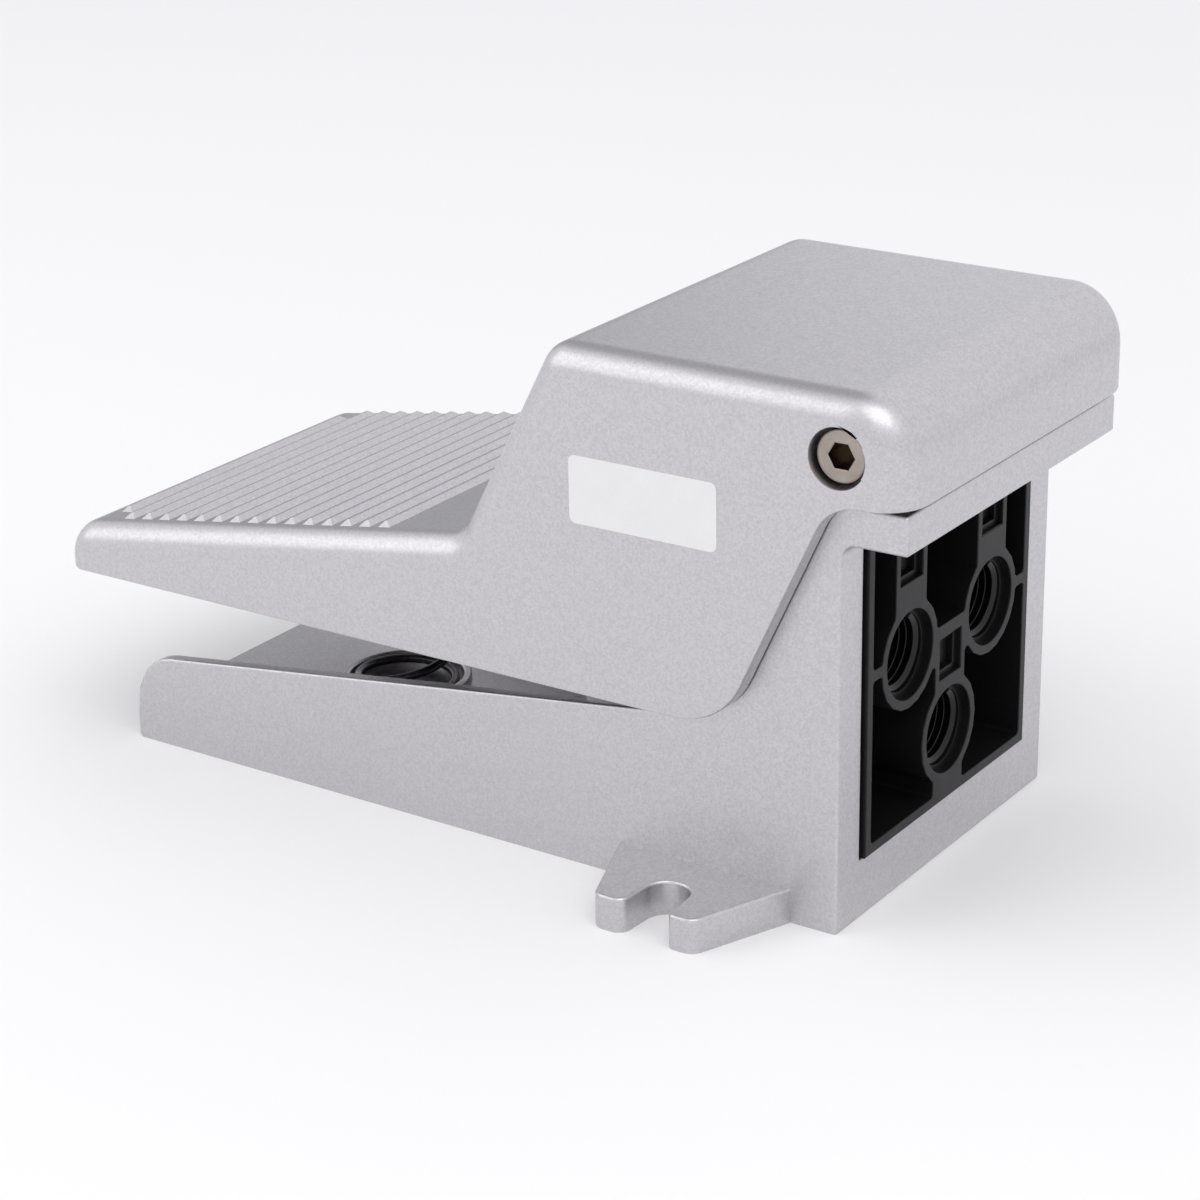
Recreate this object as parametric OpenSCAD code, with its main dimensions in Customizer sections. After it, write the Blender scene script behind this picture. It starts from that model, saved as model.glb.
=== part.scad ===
// Foot pedal air valve. A die-cast pedal is hinged on a die-cast base and works an upright
// five-port spool valve, whose moulded body shows in the rear window of the base.
// Millimetres. X runs across, Y points to the ports at the rear, and Z is up.
// The origin is on the bottom plane, midway between the two fixing notches.

/* [Base] */
// Width across the side walls at the rear
base_w = 72; // [68:1:76]
// Width across the side walls at the front end
base_front_w = 70; // [66:1:72]
// From the fixing notches to the front end
front_reach = 125; // [118:1:130]
// From the fixing notches to the rear face
rear_reach = 25; // [24:0.5:28]
// Thickness of the tray floor
floor_t = 6.5; // [5.5:0.5:8]
// Thickness of the two side fins of the tray
fin_t = 2.7; // [2.4:0.1:4]
// Height of the fin rim at the front end
rim_front_z = 16; // [14:0.5:18]
// Rise of the fin rim towards the rear, in degrees
rim_slope = 7.7; // [6:0.1:8]
// Depth of the hollow ribs under the tray floor
core_depth = 3; // [2:0.5:3]
// Height of the sill under the rear window
sill_z = 10.4; // [9:0.2:12]
// Width of the rear window
window_w = 57; // [56:0.5:60]
// Height of the rear window, from its sill to the visor
window_h = 56.5; // [56:0.5:60]
// Thickness of the visor over the window
visor_t = 6.6; // [6:0.2:8]
// How far the visor stands out behind the rear face
visor_out = 11.6; // [10:0.2:14]
// Thickness of the wall in front of the valve body
tower_wall = 4; // [3:0.5:5]

/* [Fixing tabs] */
// Thickness of the tabs
tab_t = 6.1; // [5:0.1:8]
// How far a tab stands out from the side wall
tab_reach = 18.1; // [16:0.1:20]
// From the notch to the front end of the tab at the wall
tab_front = 17; // [15:0.5:19]
// From the notch to the rear end of the tab at the wall
tab_rear = 16.9; // [15:0.1:18]
// Width of the open notch, for a screw of 6 mm
notch_w = 7.2; // [6.4:0.1:8]
// Depth of the open notch
notch_depth = 10.4; // [9:0.1:12]

/* [Pedal] */
// Thickness of the pedal's top skin
skin_t = 3.4; // [3:0.1:4]
// Thickness of the side cheeks
cheek_t = 3.4; // [3:0.1:4]
// Gap between a cheek and the side wall of the base
cheek_gap = 0.4; // [0.3:0.1:0.6]
// How far the toe stands out in front of the base
toe_out = 9.2; // [8:0.2:12]
// Height of the lower edge of the pedal
pedal_low_z = 32.9; // [32:0.1:35]
// Height of the tread at the toe
toe_z = 41.4; // [40:0.1:44]
// Rise of the tread towards the rear, in degrees
tread_slope = 9.2; // [8:0.1:10]
// From the fixing notches to the foot of the hood's front slope
slope_foot = 46.3; // [44:0.5:50]
// Angle of the hood's front slope, in degrees
hood_slope = 62.4; // [58:0.2:66]
// Height of the hood's flat top above the pivot
hood_top = 9.9; // [9.6:0.1:12]
// How far the hood's rear stands out behind the visor
hood_out = 1.4; // [0.6:0.2:2]
// Gap between the hood's rear edge and the visor at rest
rest_gap = 0.3; // [0.2:0.1:0.5]
// Radius along the pedal's upper edges
edge_r = 4.5; // [3.5:0.5:5]
// Radius of the upright corners at the hood's rear
corner_r = 8; // [6:0.5:10]
// Radius of the upright corners at the toe
toe_corner_r = 4; // [3:0.5:6]
// Radius over the toe
toe_r = 8.5; // [6:0.5:9]
// Radius in the hollow at the foot of the slope
foot_r = 4; // [2:0.5:6]
// Radius from the slope to the hood's top
brow_r = 6; // [5:0.5:10]
// Radius over the hood's rear edge
back_r = 10; // [8:0.5:11]
// Angle of the cheek's slanting rear edge, in degrees
cheek_slope = 64.8; // [62:0.2:68]
// Where the slanting rear edge meets the lower edge
cheek_heel = 5.3; // [3:0.1:8]

/* [Tread] */
// Number of full-width ridges
ridges = 15; // [10:1:16]
// Distance between ridges
ridge_pitch = 4.15; // [3.8:0.05:4.3]
// Width of a ridge at its foot
ridge_w = 2.8; // [2.4:0.1:3.6]
// Height of a ridge
ridge_h = 0.8; // [0.6:0.1:1.2]
// From the toe to the first full ridge
ridge_start = 12; // [11.6:0.1:14]
// Plain border beside the ridges
ridge_border = 3.9; // [3.4:0.1:8]

/* [Pivot] */
// From the fixing notches to the pivot
pivot_y = 26.2; // [26:0.1:27]
// Height of the pivot above the visor
pivot_z = 8.6; // [8:0.1:9.2]
// Diameter of the shoulder that the pedal turns on
shoulder_d = 6; // [5.5:0.1:6.4]
// Diameter of the screw head
screw_head_d = 8.7; // [8:0.1:9]
// Height of the screw head
screw_head_h = 5; // [4:0.1:5.2]
// Across the flats of the hexagon socket
socket_af = 4; // [3:0.5:4]
// Thread diameter of the pivot screws
pivot_thread_d = 5; // [4:0.1:5.2]
// Diameter of the counterbore in the cheek
pivot_bore_d = 9.8; // [9.6:0.1:10.4]
// How far the screw head lies below the cheek
head_recess = 1.3; // [0.8:0.1:1.8]
// Thickness of the ears on the base
ear_t = 4; // [3.5:0.5:4.5]
// Radius of the ears round the pivot
ear_r = 5; // [4.5:0.1:5.2]
// Length of the bushes
bush_len = 4.7; // [4:0.1:5.2]
// Wall of the bushes
bush_t = 1; // [0.8:0.1:1.2]

/* [Pedal spring] */
// From the fixing notches to the spring
spring_y = 88.2; // [80:0.2:92]
// Outer diameter of the spring
spring_d = 19.8; // [17:0.1:20.4]
// Thickness of the spring wire
spring_wire = 1.7; // [1.5:0.1:2.2]
// Turns of the spring
spring_turns = 4.5; // [4:0.5:7]
// Inner diameter of the round cup that holds the spring
cup_d = 21.4; // [21:0.1:24]
// Wall of the cup's rim
cup_t = 1.5; // [1.2:0.1:2]
// How far the cup's rim stands up from the tray floor
cup_h = 1.7; // [1:0.1:2.4]
// Thickness left under the cup
cup_floor = 4.9; // [4:0.1:5.4]

/* [Valve body] */
// Gap between the moulded body and the window's sides
body_gap = 0.6; // [0.3:0.1:0.8]
// How far the moulded body stands out of the window
body_proud = 0.6; // [0.2:0.1:1]
// Depth of the moulded body
body_depth = 45.6; // [45:0.1:48]
// Depth of the hollows between the ribs
pocket_depth = 12; // [10:0.5:12.5]
// Thickness of the outer rim
rim_t = 1.9; // [1.5:0.1:2.5]
// Side distance of the two outlet ports from the middle
outlet_x = 13.9; // [13:0.1:14.5]
// Height of the two outlet ports
outlet_z = 41.2; // [40.8:0.1:41.6]
// Height of the supply port
supply_z = 23; // [22.4:0.1:23.6]
// Outer radius of the rings round the ports
ring_r = 9.4; // [9:0.1:9.8]
// Radius of the port bores, at the crest of the thread
port_r = 5.72; // [5.6:0.01:5.9]
// Length of the port bores
port_len = 12; // [11:0.5:12.5]
// Radius of the step at the port mouths
lip_r = 7.6; // [7.2:0.1:7.8]
// Depth of the step at the port mouths
lip_depth = 1.6; // [1.2:0.1:2]
// Width of the webs that join the rings
web_w = 10.3; // [9.6:0.1:11]
// Thickness of the small ribs beside the outlet rings
rib_t = 2; // [1.6:0.1:2.4]
// Width and height of the sunk pads on the webs
pad_w = 7.3; // [6.6:0.1:7.6]
// Depth of the sunk pads
pad_depth = 1; // [0.6:0.1:1.4]

/* [Spool valve] */
// Share of the room before the supply riser that lies in front of the spool's axis
spool_front = 0.5; // [0.48:0.01:0.52]
// Outer radius of the ported liner
liner_r = 10; // [9.8:0.1:10.2]
// Bore radius of the liner
liner_bore_r = 7; // [6.8:0.1:7.2]
// Distance between the port levels of the spool
level_pitch = 6; // [5.9:0.05:6.2]
// Running clearance round the moving spool
spool_play = 0.05; // [0.03:0.01:0.08]
// Radius of the spool's rod
rod_r = 4; // [3.6:0.1:4.4]
// Radius of the spool's waist between its lands
waist_r = 4.4; // [4.2:0.1:4.6]
// Section radius of the sealing rings
ring_sec = 0.8; // [0.75:0.01:0.82]
// Height of the plunger's face above the visor at rest
plunger_z = 3.45; // [3.1:0.05:3.7]
// Radius of the plunger button
button_r = 5.5; // [5:0.1:6]
// Thickness of the plunger button
button_t = 2.8; // [2.4:0.1:3]
// Outer diameter of the return spring
return_d = 5.8; // [5.4:0.1:6]
// Wire of the return spring
return_wire = 0.8; // [0.6:0.1:0.9]

/* [Body screws] */
// Thread diameter of the four screws that hold the body
body_screw_d = 4; // [3:0.1:4.2]
// Side distance of the screws from the middle
body_screw_x = 22; // [21:0.5:23]
// Length of thread in the moulded body
body_screw_grip = 9; // [7:0.5:10]

/* [Hidden] */
$fn = 64;
// Clearance of loose and of seated parts, the gap between faces that meet, and cutting overlap
fit = 0.05;
seat = 0.02;
face_gap = 0.2;
past = 1;

// Base levels and places
visor_under = sill_z + window_h;
roof_z = visor_under + visor_t;
axis_z = roof_z + pivot_z;
crown_z = axis_z + hood_top;
face_z = roof_z + plunger_z;
visor_y = rear_reach + visor_out;
body_rear = rear_reach + body_proud;
body_front = body_rear - body_depth;
body_w = window_w - 2 * body_gap;
tower_y = body_front - face_gap - tower_wall;
crease_y = -14;
front_lean = 3;
cast_r = 0.6;
bottom_r = 1.5;
visor_root_r = 2.5;
tower_root_r = 5;
tower_top_r = 3;
fin_r = 9;
front_r = 2;
tray_r = 3;
fin_corner = front_lean - front_reach;
ledge_rear = -1;
ledge_w = 3.2;
function rim_z(y) = rim_front_z + (y + front_reach) * tan(rim_slope);

// Pedal levels and places
pedal_w = base_w + 2 * (cheek_gap + cheek_t);
toe_y = -front_reach - toe_out;
hood_rear = visor_y + hood_out;
rest_z = roof_z + rest_gap;
function tread_z(y) = toe_z + (y - toe_y) * tan(tread_slope);
hood_front = -slope_foot + (crown_z - tread_z(-slope_foot)) / tan(hood_slope);
cheek_top = cheek_heel + (rest_z - pedal_low_z) / tan(cheek_slope);
ceiling_z = crown_z - skin_t;
heel_r = 14;
throat_r = 8;

// Pivot, measured out from the middle
cheek_x = pedal_w / 2;
cheek_in = cheek_x - cheek_t;
head_face = cheek_x - head_recess;
head_under = head_face - screw_head_h;
ear_play = 0.3;
bush_out = head_under - face_gap;
bush_in = bush_out - bush_len;
ear_x = bush_in - face_gap - ear_play;
ear_in = ear_x - ear_t;
nut_t = 4;
nut_af = 8;
thread_past_nut = 1.5;
boss_r = 7;
bush_r = shoulder_d / 2 + fit + bush_t;

// Valve column, named from the middle level outwards
riser_r = 3;
riser_in = 2.6;
port_floor = body_rear - port_len;
gallery_y = port_floor - riser_in;
spool_y = body_front + spool_front * (gallery_y - riser_r - body_front);
mid_z = outlet_z;
levels = [for (i = [-2:2]) mid_z + i * level_pitch];
liner_low = mid_z - 3.5 * level_pitch;
liner_high = mid_z + 3.15 * level_pitch;
static_rings = [for (i = [-2.5:2.5]) mid_z + i * level_pitch];
spool_rings = [for (k = [-2.42, -1.43, 0.1, 0.57, 2.03, 2.92]) mid_z + k * level_pitch];
spool_low = mid_z - 2.75 * level_pitch;
spool_high = mid_z + 3.1 * level_pitch;
body_bore = liner_r + fit;
land_r = liner_bore_r - spool_play;
land_half = ring_sec + 0.75;
land_top = spool_rings[5] + land_half;
groove_play = 0.2;
groove_r = liner_r - 2 * ring_sec - fit;
clip_t = 1.3;
clip_low = sill_z + 0.5;
clip_r = body_bore + 0.7;
cap_low = clip_low + clip_t + 2 * fit;
cap_high = liner_low - face_gap;
cap_ring_z = cap_low + 2.6;
cap_pocket = 5.4;
return_low = cap_high - cap_pocket;
return_high = mid_z - 3;
return_turns = 8;
return_bore = return_d / 2 + 0.4;
spring_end_gap = 0.1;
gland_top = visor_under - 0.3;
plunger_way_r = button_r + 2.5;
button_socket = 1.6;
wiper_t = 3;
wiper_r = rod_r + 2.4;
wiper_lip = 1;
gallery_r = 2.4;
exhaust_r = 3.2;
branch_r = 4.6;
plug_len = 5;
pad_up = 16.4;
pad_down = 4.7;
outlet_y = spool_y + 7;

// Pedal spring and pusher
spring_seat_r = spring_d / 2 + 2;
spring_seat_z = tread_z(-spring_y) - skin_t - 4;
spigot_r = spring_d / 2 - spring_wire - 1;
spigot_len = 4;
spring_start = -55;
first_ridge_in = 3.9;
stud_r = 4;
dome_r = 6;
stud_low = face_z + fit;
stud_neck = stud_low + 4;
stud_boss_r = stud_r + 3;
stud_bore_z = ceiling_z - 1;
shank_top = stud_bore_z - 0.5;

// Body screws, in from below
screw_head_r = body_screw_d * 0.9;
screw_head_t = body_screw_d;
screw_sink = 0.6;
screw_play = 0.3;
body_screw_in = 6;
body_screws_at = [for (x = [-1, 1], y = [body_front + body_screw_in, gallery_y - riser_r])
    [x * body_screw_x, y]];

// A corner of an outline, rounded with radius r where q turns from p to s
function unit(v) = v / norm(v);
function corner(p, q, s, r) =
    let (u = unit(p - q), v = unit(s - q), half = acos(u * v) / 2)
    let (c = q + unit(u + v) * r / sin(half), a = q + u * r / tan(half) - c)
    let (b = q + v * r / tan(half) - c, turn = sign(cross(a, b)) * (180 - 2 * half))
    let (steps = max(2, ceil(abs(turn) / 15)), start = atan2(a.y, a.x))
    r == 0 ? [q] : [for (i = [0:steps]) c + r * [cos(start + turn * i / steps),
                                                 sin(start + turn * i / steps)]];

// An outline of [u, v, radius] corners
function place(c) = [c[0], c[1]];
function rounded(c) =
    let (n = len(c))
    [for (i = [0:n - 1]) each corner(place(c[(i + n - 1) % n]), place(c[i]),
                                     place(c[(i + 1) % n]), c[i][2])];

// An outline in Y and Z, carried across X about the middle
module across(w) {
    translate([-w / 2, 0, 0]) rotate([90, 0, 90]) linear_extrude(w) children();
}

// An outline in X and Z, carried forwards from y
module forwards(y, depth) {
    translate([0, y, 0]) rotate([90, 0, 0]) linear_extrude(depth) children();
}

// A round bar along X, along Y or upright, between two places
module bar_x(r, x0, x1, y, z) {
    translate([min(x0, x1), y, z]) rotate([0, 90, 0]) cylinder(r = r, h = abs(x1 - x0));
}
module bar_y(r, y0, y1, x, z) {
    translate([x, max(y0, y1), z]) rotate([90, 0, 0]) cylinder(r = r, h = abs(y1 - y0));
}
module bar_z(r, z0, z1, x = 0, y = spool_y) {
    translate([x, y, z0]) cylinder(r = r, h = z1 - z0);
}

// A sealing ring round the spool's axis
module seal(r, z, sec) {
    translate([0, spool_y, z]) rotate_extrude() translate([r - sec, 0]) circle(r = sec, $fn = 32);
}

// Both sides of the middle plane
module both_sides() {
    children();
    mirror([1, 0, 0]) children();
}

// A coil of round wire about a vertical axis, as one swept tube. Its end turns lie close.
module coil(r, wire, low, high, turns, start, per_turn, sides) {
    rings = ceil(turns * per_turn);
    rise = high - low - 2 * wire;
    close = 2.3 * wire;
    pitch = (rise - 2 * close) / (turns - 2);
    function climb(t) = low + wire + close * min(t, 1) + pitch * min(max(t - 1, 0), turns - 2)
                        + close * max(t - turns + 1, 0);
    function ring(i) =
        let (t = turns * i / rings, a = start + 360 * t)
        [for (k = [0:sides - 1])
            let (b = 360 * k / sides)
            [(r + wire * cos(b)) * cos(a), (r + wire * cos(b)) * sin(a), climb(t) + wire * sin(b)]];
    points = [for (i = [0:rings]) each ring(i)];
    skin = [for (i = [0:rings - 1], k = [0:sides - 1])
        let (n = (k + 1) % sides)
        [i * sides + k, (i + 1) * sides + k, (i + 1) * sides + n, i * sides + n]];
    ends = [[for (k = [0:sides - 1]) k], [for (k = [sides - 1:-1:0]) rings * sides + k]];
    polyhedron(points, concat(skin, ends), convexity = 8);
}

// Base

// Side view of the casting: tray, tower and visor in one outline, with the tower's front at y
module base_side(y) {
    polygon(rounded([
        [-front_reach, 0, bottom_r],
        [rear_reach, 0, cast_r],
        [rear_reach, visor_under, visor_root_r],
        [visor_y, visor_under, cast_r],
        [visor_y, roof_z, cast_r],
        [y, roof_z, tower_top_r],
        [y, rim_z(y), tower_root_r],
        [fin_corner, rim_z(fin_corner), fin_r]]));
}

// Plan of the casting, a little narrower towards the front
module base_plan() {
    half = base_w / 2;
    front = base_front_w / 2;
    polygon(rounded([
        [-front, -front_reach, front_r],
        [front, -front_reach, front_r],
        [half, crease_y, 0],
        [half, visor_y, cast_r],
        [-half, visor_y, cast_r],
        [-half, crease_y, 0]]));
}

// Inside plan of the tray between the fins
module tray_plan() {
    half = base_w / 2 - fin_t;
    front = base_front_w / 2 - fin_t;
    polygon(rounded([
        [-front, -front_reach - past, 0],
        [front, -front_reach - past, 0],
        [half, tower_y, tray_r],
        [-half, tower_y, tray_r]]));
}

// A fixing tab with its open notch, on the +X side
module tab() {
    wall = base_w / 2 - past;
    end = base_w / 2 + tab_reach;
    floor_x = end - notch_depth;
    mouth = notch_w / 2 + 0.7;
    lobe_front = mouth + 5.5;
    lobe_rear = mouth + 4.8;
    lobe_r = 2.6;
    notch_r = notch_w / 2 - fit;
    linear_extrude(tab_t) polygon(rounded([
        [wall, -tab_front, 0],
        [end, -lobe_front, lobe_r],
        [end, -mouth, 2.2],
        [floor_x, -notch_w / 2, notch_r],
        [floor_x, notch_w / 2, notch_r],
        [end, mouth, 1.2],
        [end, lobe_rear, lobe_r],
        [wall, tab_rear, 0]]));
}

// Hollows in the underside of the tray, with ribs between them
module floor_cores() {
    rib = 3;
    cores = 4;
    long = (front_reach + tower_y - rib) / cores;
    wide = base_front_w / 2 - 2 * rib;
    difference() {
        for (i = [0:cores - 1], x = [-1, 1])
            translate([x * (wide + rib) / 2, -front_reach + rib + (i + 0.5) * long, 0])
                translate([-(wide - rib / 2) / 2, -(long - rib) / 2, -past])
                    cube([wide - rib / 2, long - rib, core_depth + past]);
        bar_z(cup_d / 2 + rib, -2 * past, core_depth + past, 0, -spring_y);
    }
}

// The ear on the +X side that carries a pivot screw
module ear() {
    foot = 10;
    heel = 6.2;
    top_r = ear_r - fit;
    translate([ear_in, 0, 0]) rotate([90, 0, 90]) linear_extrude(ear_t)
        polygon(rounded([
            [pivot_y - foot, roof_z - past, 0],
            [pivot_y + heel, roof_z - past, 0],
            [pivot_y + ear_r, axis_z + ear_r, top_r],
            [pivot_y - ear_r, axis_z + ear_r, top_r]]));
}

module base_housing() {
    color("silver") difference() {
        union() {
            // The fin rims run on as ledges beside the tower, behind the cheeks
            intersection() {
                union() {
                    across(base_w + 2 * past) base_side(ledge_rear);
                    across(base_w - 2 * ledge_w) base_side(tower_y);
                }
                linear_extrude(roof_z + past) base_plan();
            }
            both_sides() tab();
            both_sides() ear();
        }
        // Tray between the fins, round the rim of the spring cup
        difference() {
            translate([0, 0, floor_t]) linear_extrude(roof_z) tray_plan();
            bar_z(cup_d / 2 + cup_t, 0, floor_t + cup_h, 0, -spring_y);
        }
        // Rear window and the room behind it
        translate([-window_w / 2, body_front - face_gap, sill_z])
            cube([window_w, body_depth + 4 * past, window_h]);
        // Way for the plunger through the roof
        bar_z(plunger_way_r, visor_under - past, roof_z + past);
        // Exhaust ways through the front wall, at the outer port levels
        for (z = [levels[0], levels[4]])
            bar_y(exhaust_r, tower_y - past, body_front, 0, z);
        // Pedal spring cup
        bar_z(cup_d / 2, cup_floor, floor_t + cup_h + past, 0, -spring_y);
        floor_cores();
        // Pivot threads and body screws
        both_sides() bar_x(pivot_thread_d / 2 + fit, ear_in - past, ear_x + past,
                           pivot_y, axis_z);
        for (p = body_screws_at) {
            bar_z(body_screw_d / 2 + screw_play, -past, sill_z + past, p.x, p.y);
            bar_z(screw_head_r + screw_play, -past, screw_sink + screw_head_t, p.x, p.y);
        }
    }
}

// Valve body

// The rings, webs and ribs that stand between the hollows of the rear face
module rear_ribs() {
    half = body_w / 2;
    for (x = [-outlet_x, outlet_x]) {
        translate([x, outlet_z]) circle(r = ring_r);
        translate([x - web_w / 2, outlet_z]) square([web_w, window_h]);
    }
    translate([0, supply_z]) circle(r = ring_r);
    translate([-web_w / 2, sill_z]) square([web_w, outlet_z - sill_z + 1.2]);
    translate([-outlet_x, outlet_z - 1]) square([2 * outlet_x, rib_t + 0.2]);
    translate([-half, outlet_z - rib_t / 2 + 0.4]) square([2 * half, rib_t]);
}

// The hollows of the rear face, with rounded corners
module rear_hollows() {
    half = body_w / 2 - rim_t;
    offset(r = 0.7, $fn = 20) offset(delta = -0.7) difference() {
        translate([-half, sill_z + rim_t]) square([2 * half, window_h - 2 * rim_t]);
        rear_ribs();
    }
}

// A port bore with a stepped mouth
module port(x, z) {
    bar_y(port_r, body_rear + past, port_floor, x, z);
    bar_y(lip_r, body_rear + past, body_rear - lip_depth, x, z);
}

// Ways from the ports to their levels on the spool
module galleries() {
    for (side = [-1, 1]) {
        bar_y(branch_r, port_floor + past, outlet_y - 1, side * outlet_x, outlet_z);
        bar_x(gallery_r, side * body_w, side * 4, outlet_y, levels[2 + side]);
    }
    bar_y(branch_r, port_floor + past, gallery_y, 0, supply_z);
    bar_z(riser_r, sill_z - past, mid_z, 0, gallery_y);
    bar_y(gallery_r, gallery_y, body_front - past, 0, mid_z);
    for (z = [levels[0], levels[4]])
        bar_y(gallery_r, spool_y, body_front - past, 0, z);
}

// The sunk pads over the ports
module pads() {
    for (c = [[-outlet_x, outlet_z + pad_up], [outlet_x, outlet_z + pad_up], [0, outlet_z - pad_down]])
        translate([c[0] - pad_w / 2, c[1] - pad_w / 2]) square(pad_w);
}

module valve_body() {
    color("#1b1b1d") difference() {
        translate([-body_w / 2, body_front, sill_z]) cube([body_w, body_depth, gland_top - sill_z]);
        forwards(body_rear + past, pocket_depth + past) rear_hollows();
        forwards(body_rear + past, pad_depth + past) pads();
        port(outlet_x, outlet_z);
        port(-outlet_x, outlet_z);
        port(0, supply_z);
        bar_z(body_bore, sill_z - past, visor_under + past);
        bar_z(clip_r + fit, clip_low - fit, clip_low + clip_t + fit);
        galleries();
        for (p = body_screws_at)
            bar_z(body_screw_d / 2 + fit, sill_z - past, sill_z + body_screw_grip + past, p.x, p.y);
    }
}

module gallery_plugs() {
    color("goldenrod") {
        for (side = [-1, 1])
            bar_x(gallery_r - seat, side * body_w / 2, side * (body_w / 2 - plug_len),
                  outlet_y, levels[2 + side]);
        bar_z(riser_r - seat, sill_z, sill_z + plug_len, 0, gallery_y);
        bar_y(gallery_r - seat, body_front, spool_y - body_bore - 0.5, 0, mid_z);
    }
}

module body_screws() {
    color("dimgray") for (p = body_screws_at) difference() {
        union() {
            bar_z(screw_head_r, screw_sink, screw_sink + screw_head_t, p.x, p.y);
            bar_z(body_screw_d / 2, screw_sink, sill_z + body_screw_grip, p.x, p.y);
        }
        translate([p.x, p.y, screw_sink - past])
            cylinder(d = body_screw_d * 0.75 / cos(30), h = body_screw_d / 2 + past, $fn = 6);
    }
}

// Valve column

module spool_liner() {
    port_groove_r = liner_r - 1.4;
    hole_r = 0.9;
    color("lightsteelblue") difference() {
        bar_z(liner_r, liner_low, liner_high);
        bar_z(liner_bore_r, liner_low - past, liner_high + past);
        for (z = static_rings) ring_groove(groove_r, z);
        for (z = levels) {
            ring_groove(port_groove_r, z);
            for (a = [0, 90]) translate([0, spool_y, z]) rotate([90, 0, a])
                cylinder(r = hole_r, h = 3 * liner_r, center = true);
        }
    }
}

// A groove round the outside of the liner
module ring_groove(r, z) {
    wide = 2 * (ring_sec + groove_play);
    translate([0, spool_y, z - wide / 2]) difference() {
        cylinder(r = liner_r + past, h = wide);
        translate([0, 0, -past]) cylinder(r = r, h = wide + 2 * past);
    }
}

module liner_seals() {
    color("#202020") for (z = static_rings) seal(liner_r, z, ring_sec);
}

module top_gland() {
    color("lightsteelblue") difference() {
        bar_z(liner_r, liner_high + seat, gland_top);
        bar_z(rod_r + spool_play, liner_high - past, gland_top + past);
        bar_z(wiper_r, gland_top - wiper_t, gland_top + past);
        bar_z(liner_bore_r, liner_high - past, land_top + 2 * face_gap);
    }
}

module rod_wiper() {
    color("#202020") difference() {
        bar_z(wiper_r - seat, gland_top - wiper_t, gland_top);
        bar_z(rod_r + spool_play, gland_top - wiper_t - past, gland_top + past);
        translate([0, spool_y, gland_top - wiper_lip])
            cylinder(r1 = rod_r + face_gap, r2 = wiper_r - wiper_lip, h = wiper_lip + seat);
    }
}

module end_cap() {
    color("lightsteelblue") difference() {
        bar_z(liner_r, cap_low, cap_high);
        bar_z(return_bore, return_low, cap_high + past);
        ring_groove(groove_r, cap_ring_z);
    }
}

module end_cap_seal() {
    color("#202020") seal(liner_r, cap_ring_z, ring_sec);
}

// A spring clip with a gap and two holed lugs
module end_cap_clip() {
    inner_r = liner_r - 1.8;
    gap = 3.2;
    lug_r = 1.5;
    lug_hole_r = 0.7;
    deep = clip_t + 2 * past;
    color("dimgray") translate([0, spool_y, clip_low]) difference() {
        union() {
            difference() {
                cylinder(r = clip_r, h = clip_t);
                translate([0, 0, -past]) cylinder(r = inner_r, h = deep);
                translate([-gap / 2, -2 * liner_r, -past]) cube([gap, 2 * liner_r, deep]);
            }
            for (x = [-gap, gap]) translate([x, -inner_r, 0]) cylinder(r = lug_r, h = clip_t);
        }
        for (x = [-gap, gap]) translate([x, -inner_r, -past]) cylinder(r = lug_hole_r, h = deep);
    }
}

module return_spring() {
    color("gray") translate([0, spool_y, 0])
        coil(return_d / 2 - return_wire / 2, return_wire / 2, return_low + spring_end_gap,
             return_high - spring_end_gap, return_turns, 0, 14, 6);
}

// Moving spool

module spool() {
    wide = 2 * (ring_sec + fit);
    floor_r = land_r - 2 * ring_sec + fit;
    color("gainsboro") difference() {
        union() {
            bar_z(waist_r, spool_low, spool_high);
            for (z = spool_rings) bar_z(land_r, z - land_half, z + land_half);
            bar_z(rod_r, spool_high - past, face_z - button_t + button_socket);
        }
        bar_z(return_bore, spool_low - past, return_high);
        for (z = spool_rings) translate([0, 0, z - wide / 2]) difference() {
            bar_z(land_r + past, 0, wide);
            bar_z(floor_r, -past, wide + past);
        }
    }
}

module spool_seals() {
    color("#202020") for (z = spool_rings) seal(land_r + seat, z, ring_sec - 2 * seat);
}

module plunger_button() {
    low = face_z - button_t;
    under = 1;
    bevel = 0.6;
    color("gainsboro") translate([0, spool_y, 0]) difference() {
        rotate_extrude() polygon([[0, low], [button_r - under, low], [button_r, low + under],
                                  [button_r, face_z - bevel], [button_r - bevel, face_z],
                                  [0, face_z]]);
        translate([0, 0, low - past]) cylinder(r = rod_r + seat, h = button_socket + past + seat);
    }
}

// Pivot

module pivot_screws() {
    color("#c8c2b8") both_sides() difference() {
        union() {
            bar_x(screw_head_d / 2, head_under, head_face, pivot_y, axis_z);
            bar_x(shoulder_d / 2, ear_x, head_under, pivot_y, axis_z);
            bar_x(pivot_thread_d / 2, ear_in - nut_t - thread_past_nut, ear_x, pivot_y, axis_z);
        }
        translate([head_face - screw_head_h / 2, pivot_y, axis_z]) rotate([0, 90, 0])
            rotate(30) cylinder(d = socket_af / cos(30), h = screw_head_h, $fn = 6);
    }
}

module pivot_nuts() {
    color("#c8c2b8") both_sides() difference() {
        translate([ear_in - nut_t, pivot_y, axis_z]) rotate([0, 90, 0])
            cylinder(d = nut_af / cos(30), h = nut_t, $fn = 6);
        bar_x(pivot_thread_d / 2 + fit, 0, ear_x, pivot_y, axis_z);
    }
}

module pivot_bushes() {
    color("peru") both_sides() difference() {
        bar_x(bush_r, bush_in, bush_out, pivot_y, axis_z);
        bar_x(shoulder_d / 2 + fit, 0, cheek_x, pivot_y, axis_z);
    }
}

// Pedal

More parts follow.
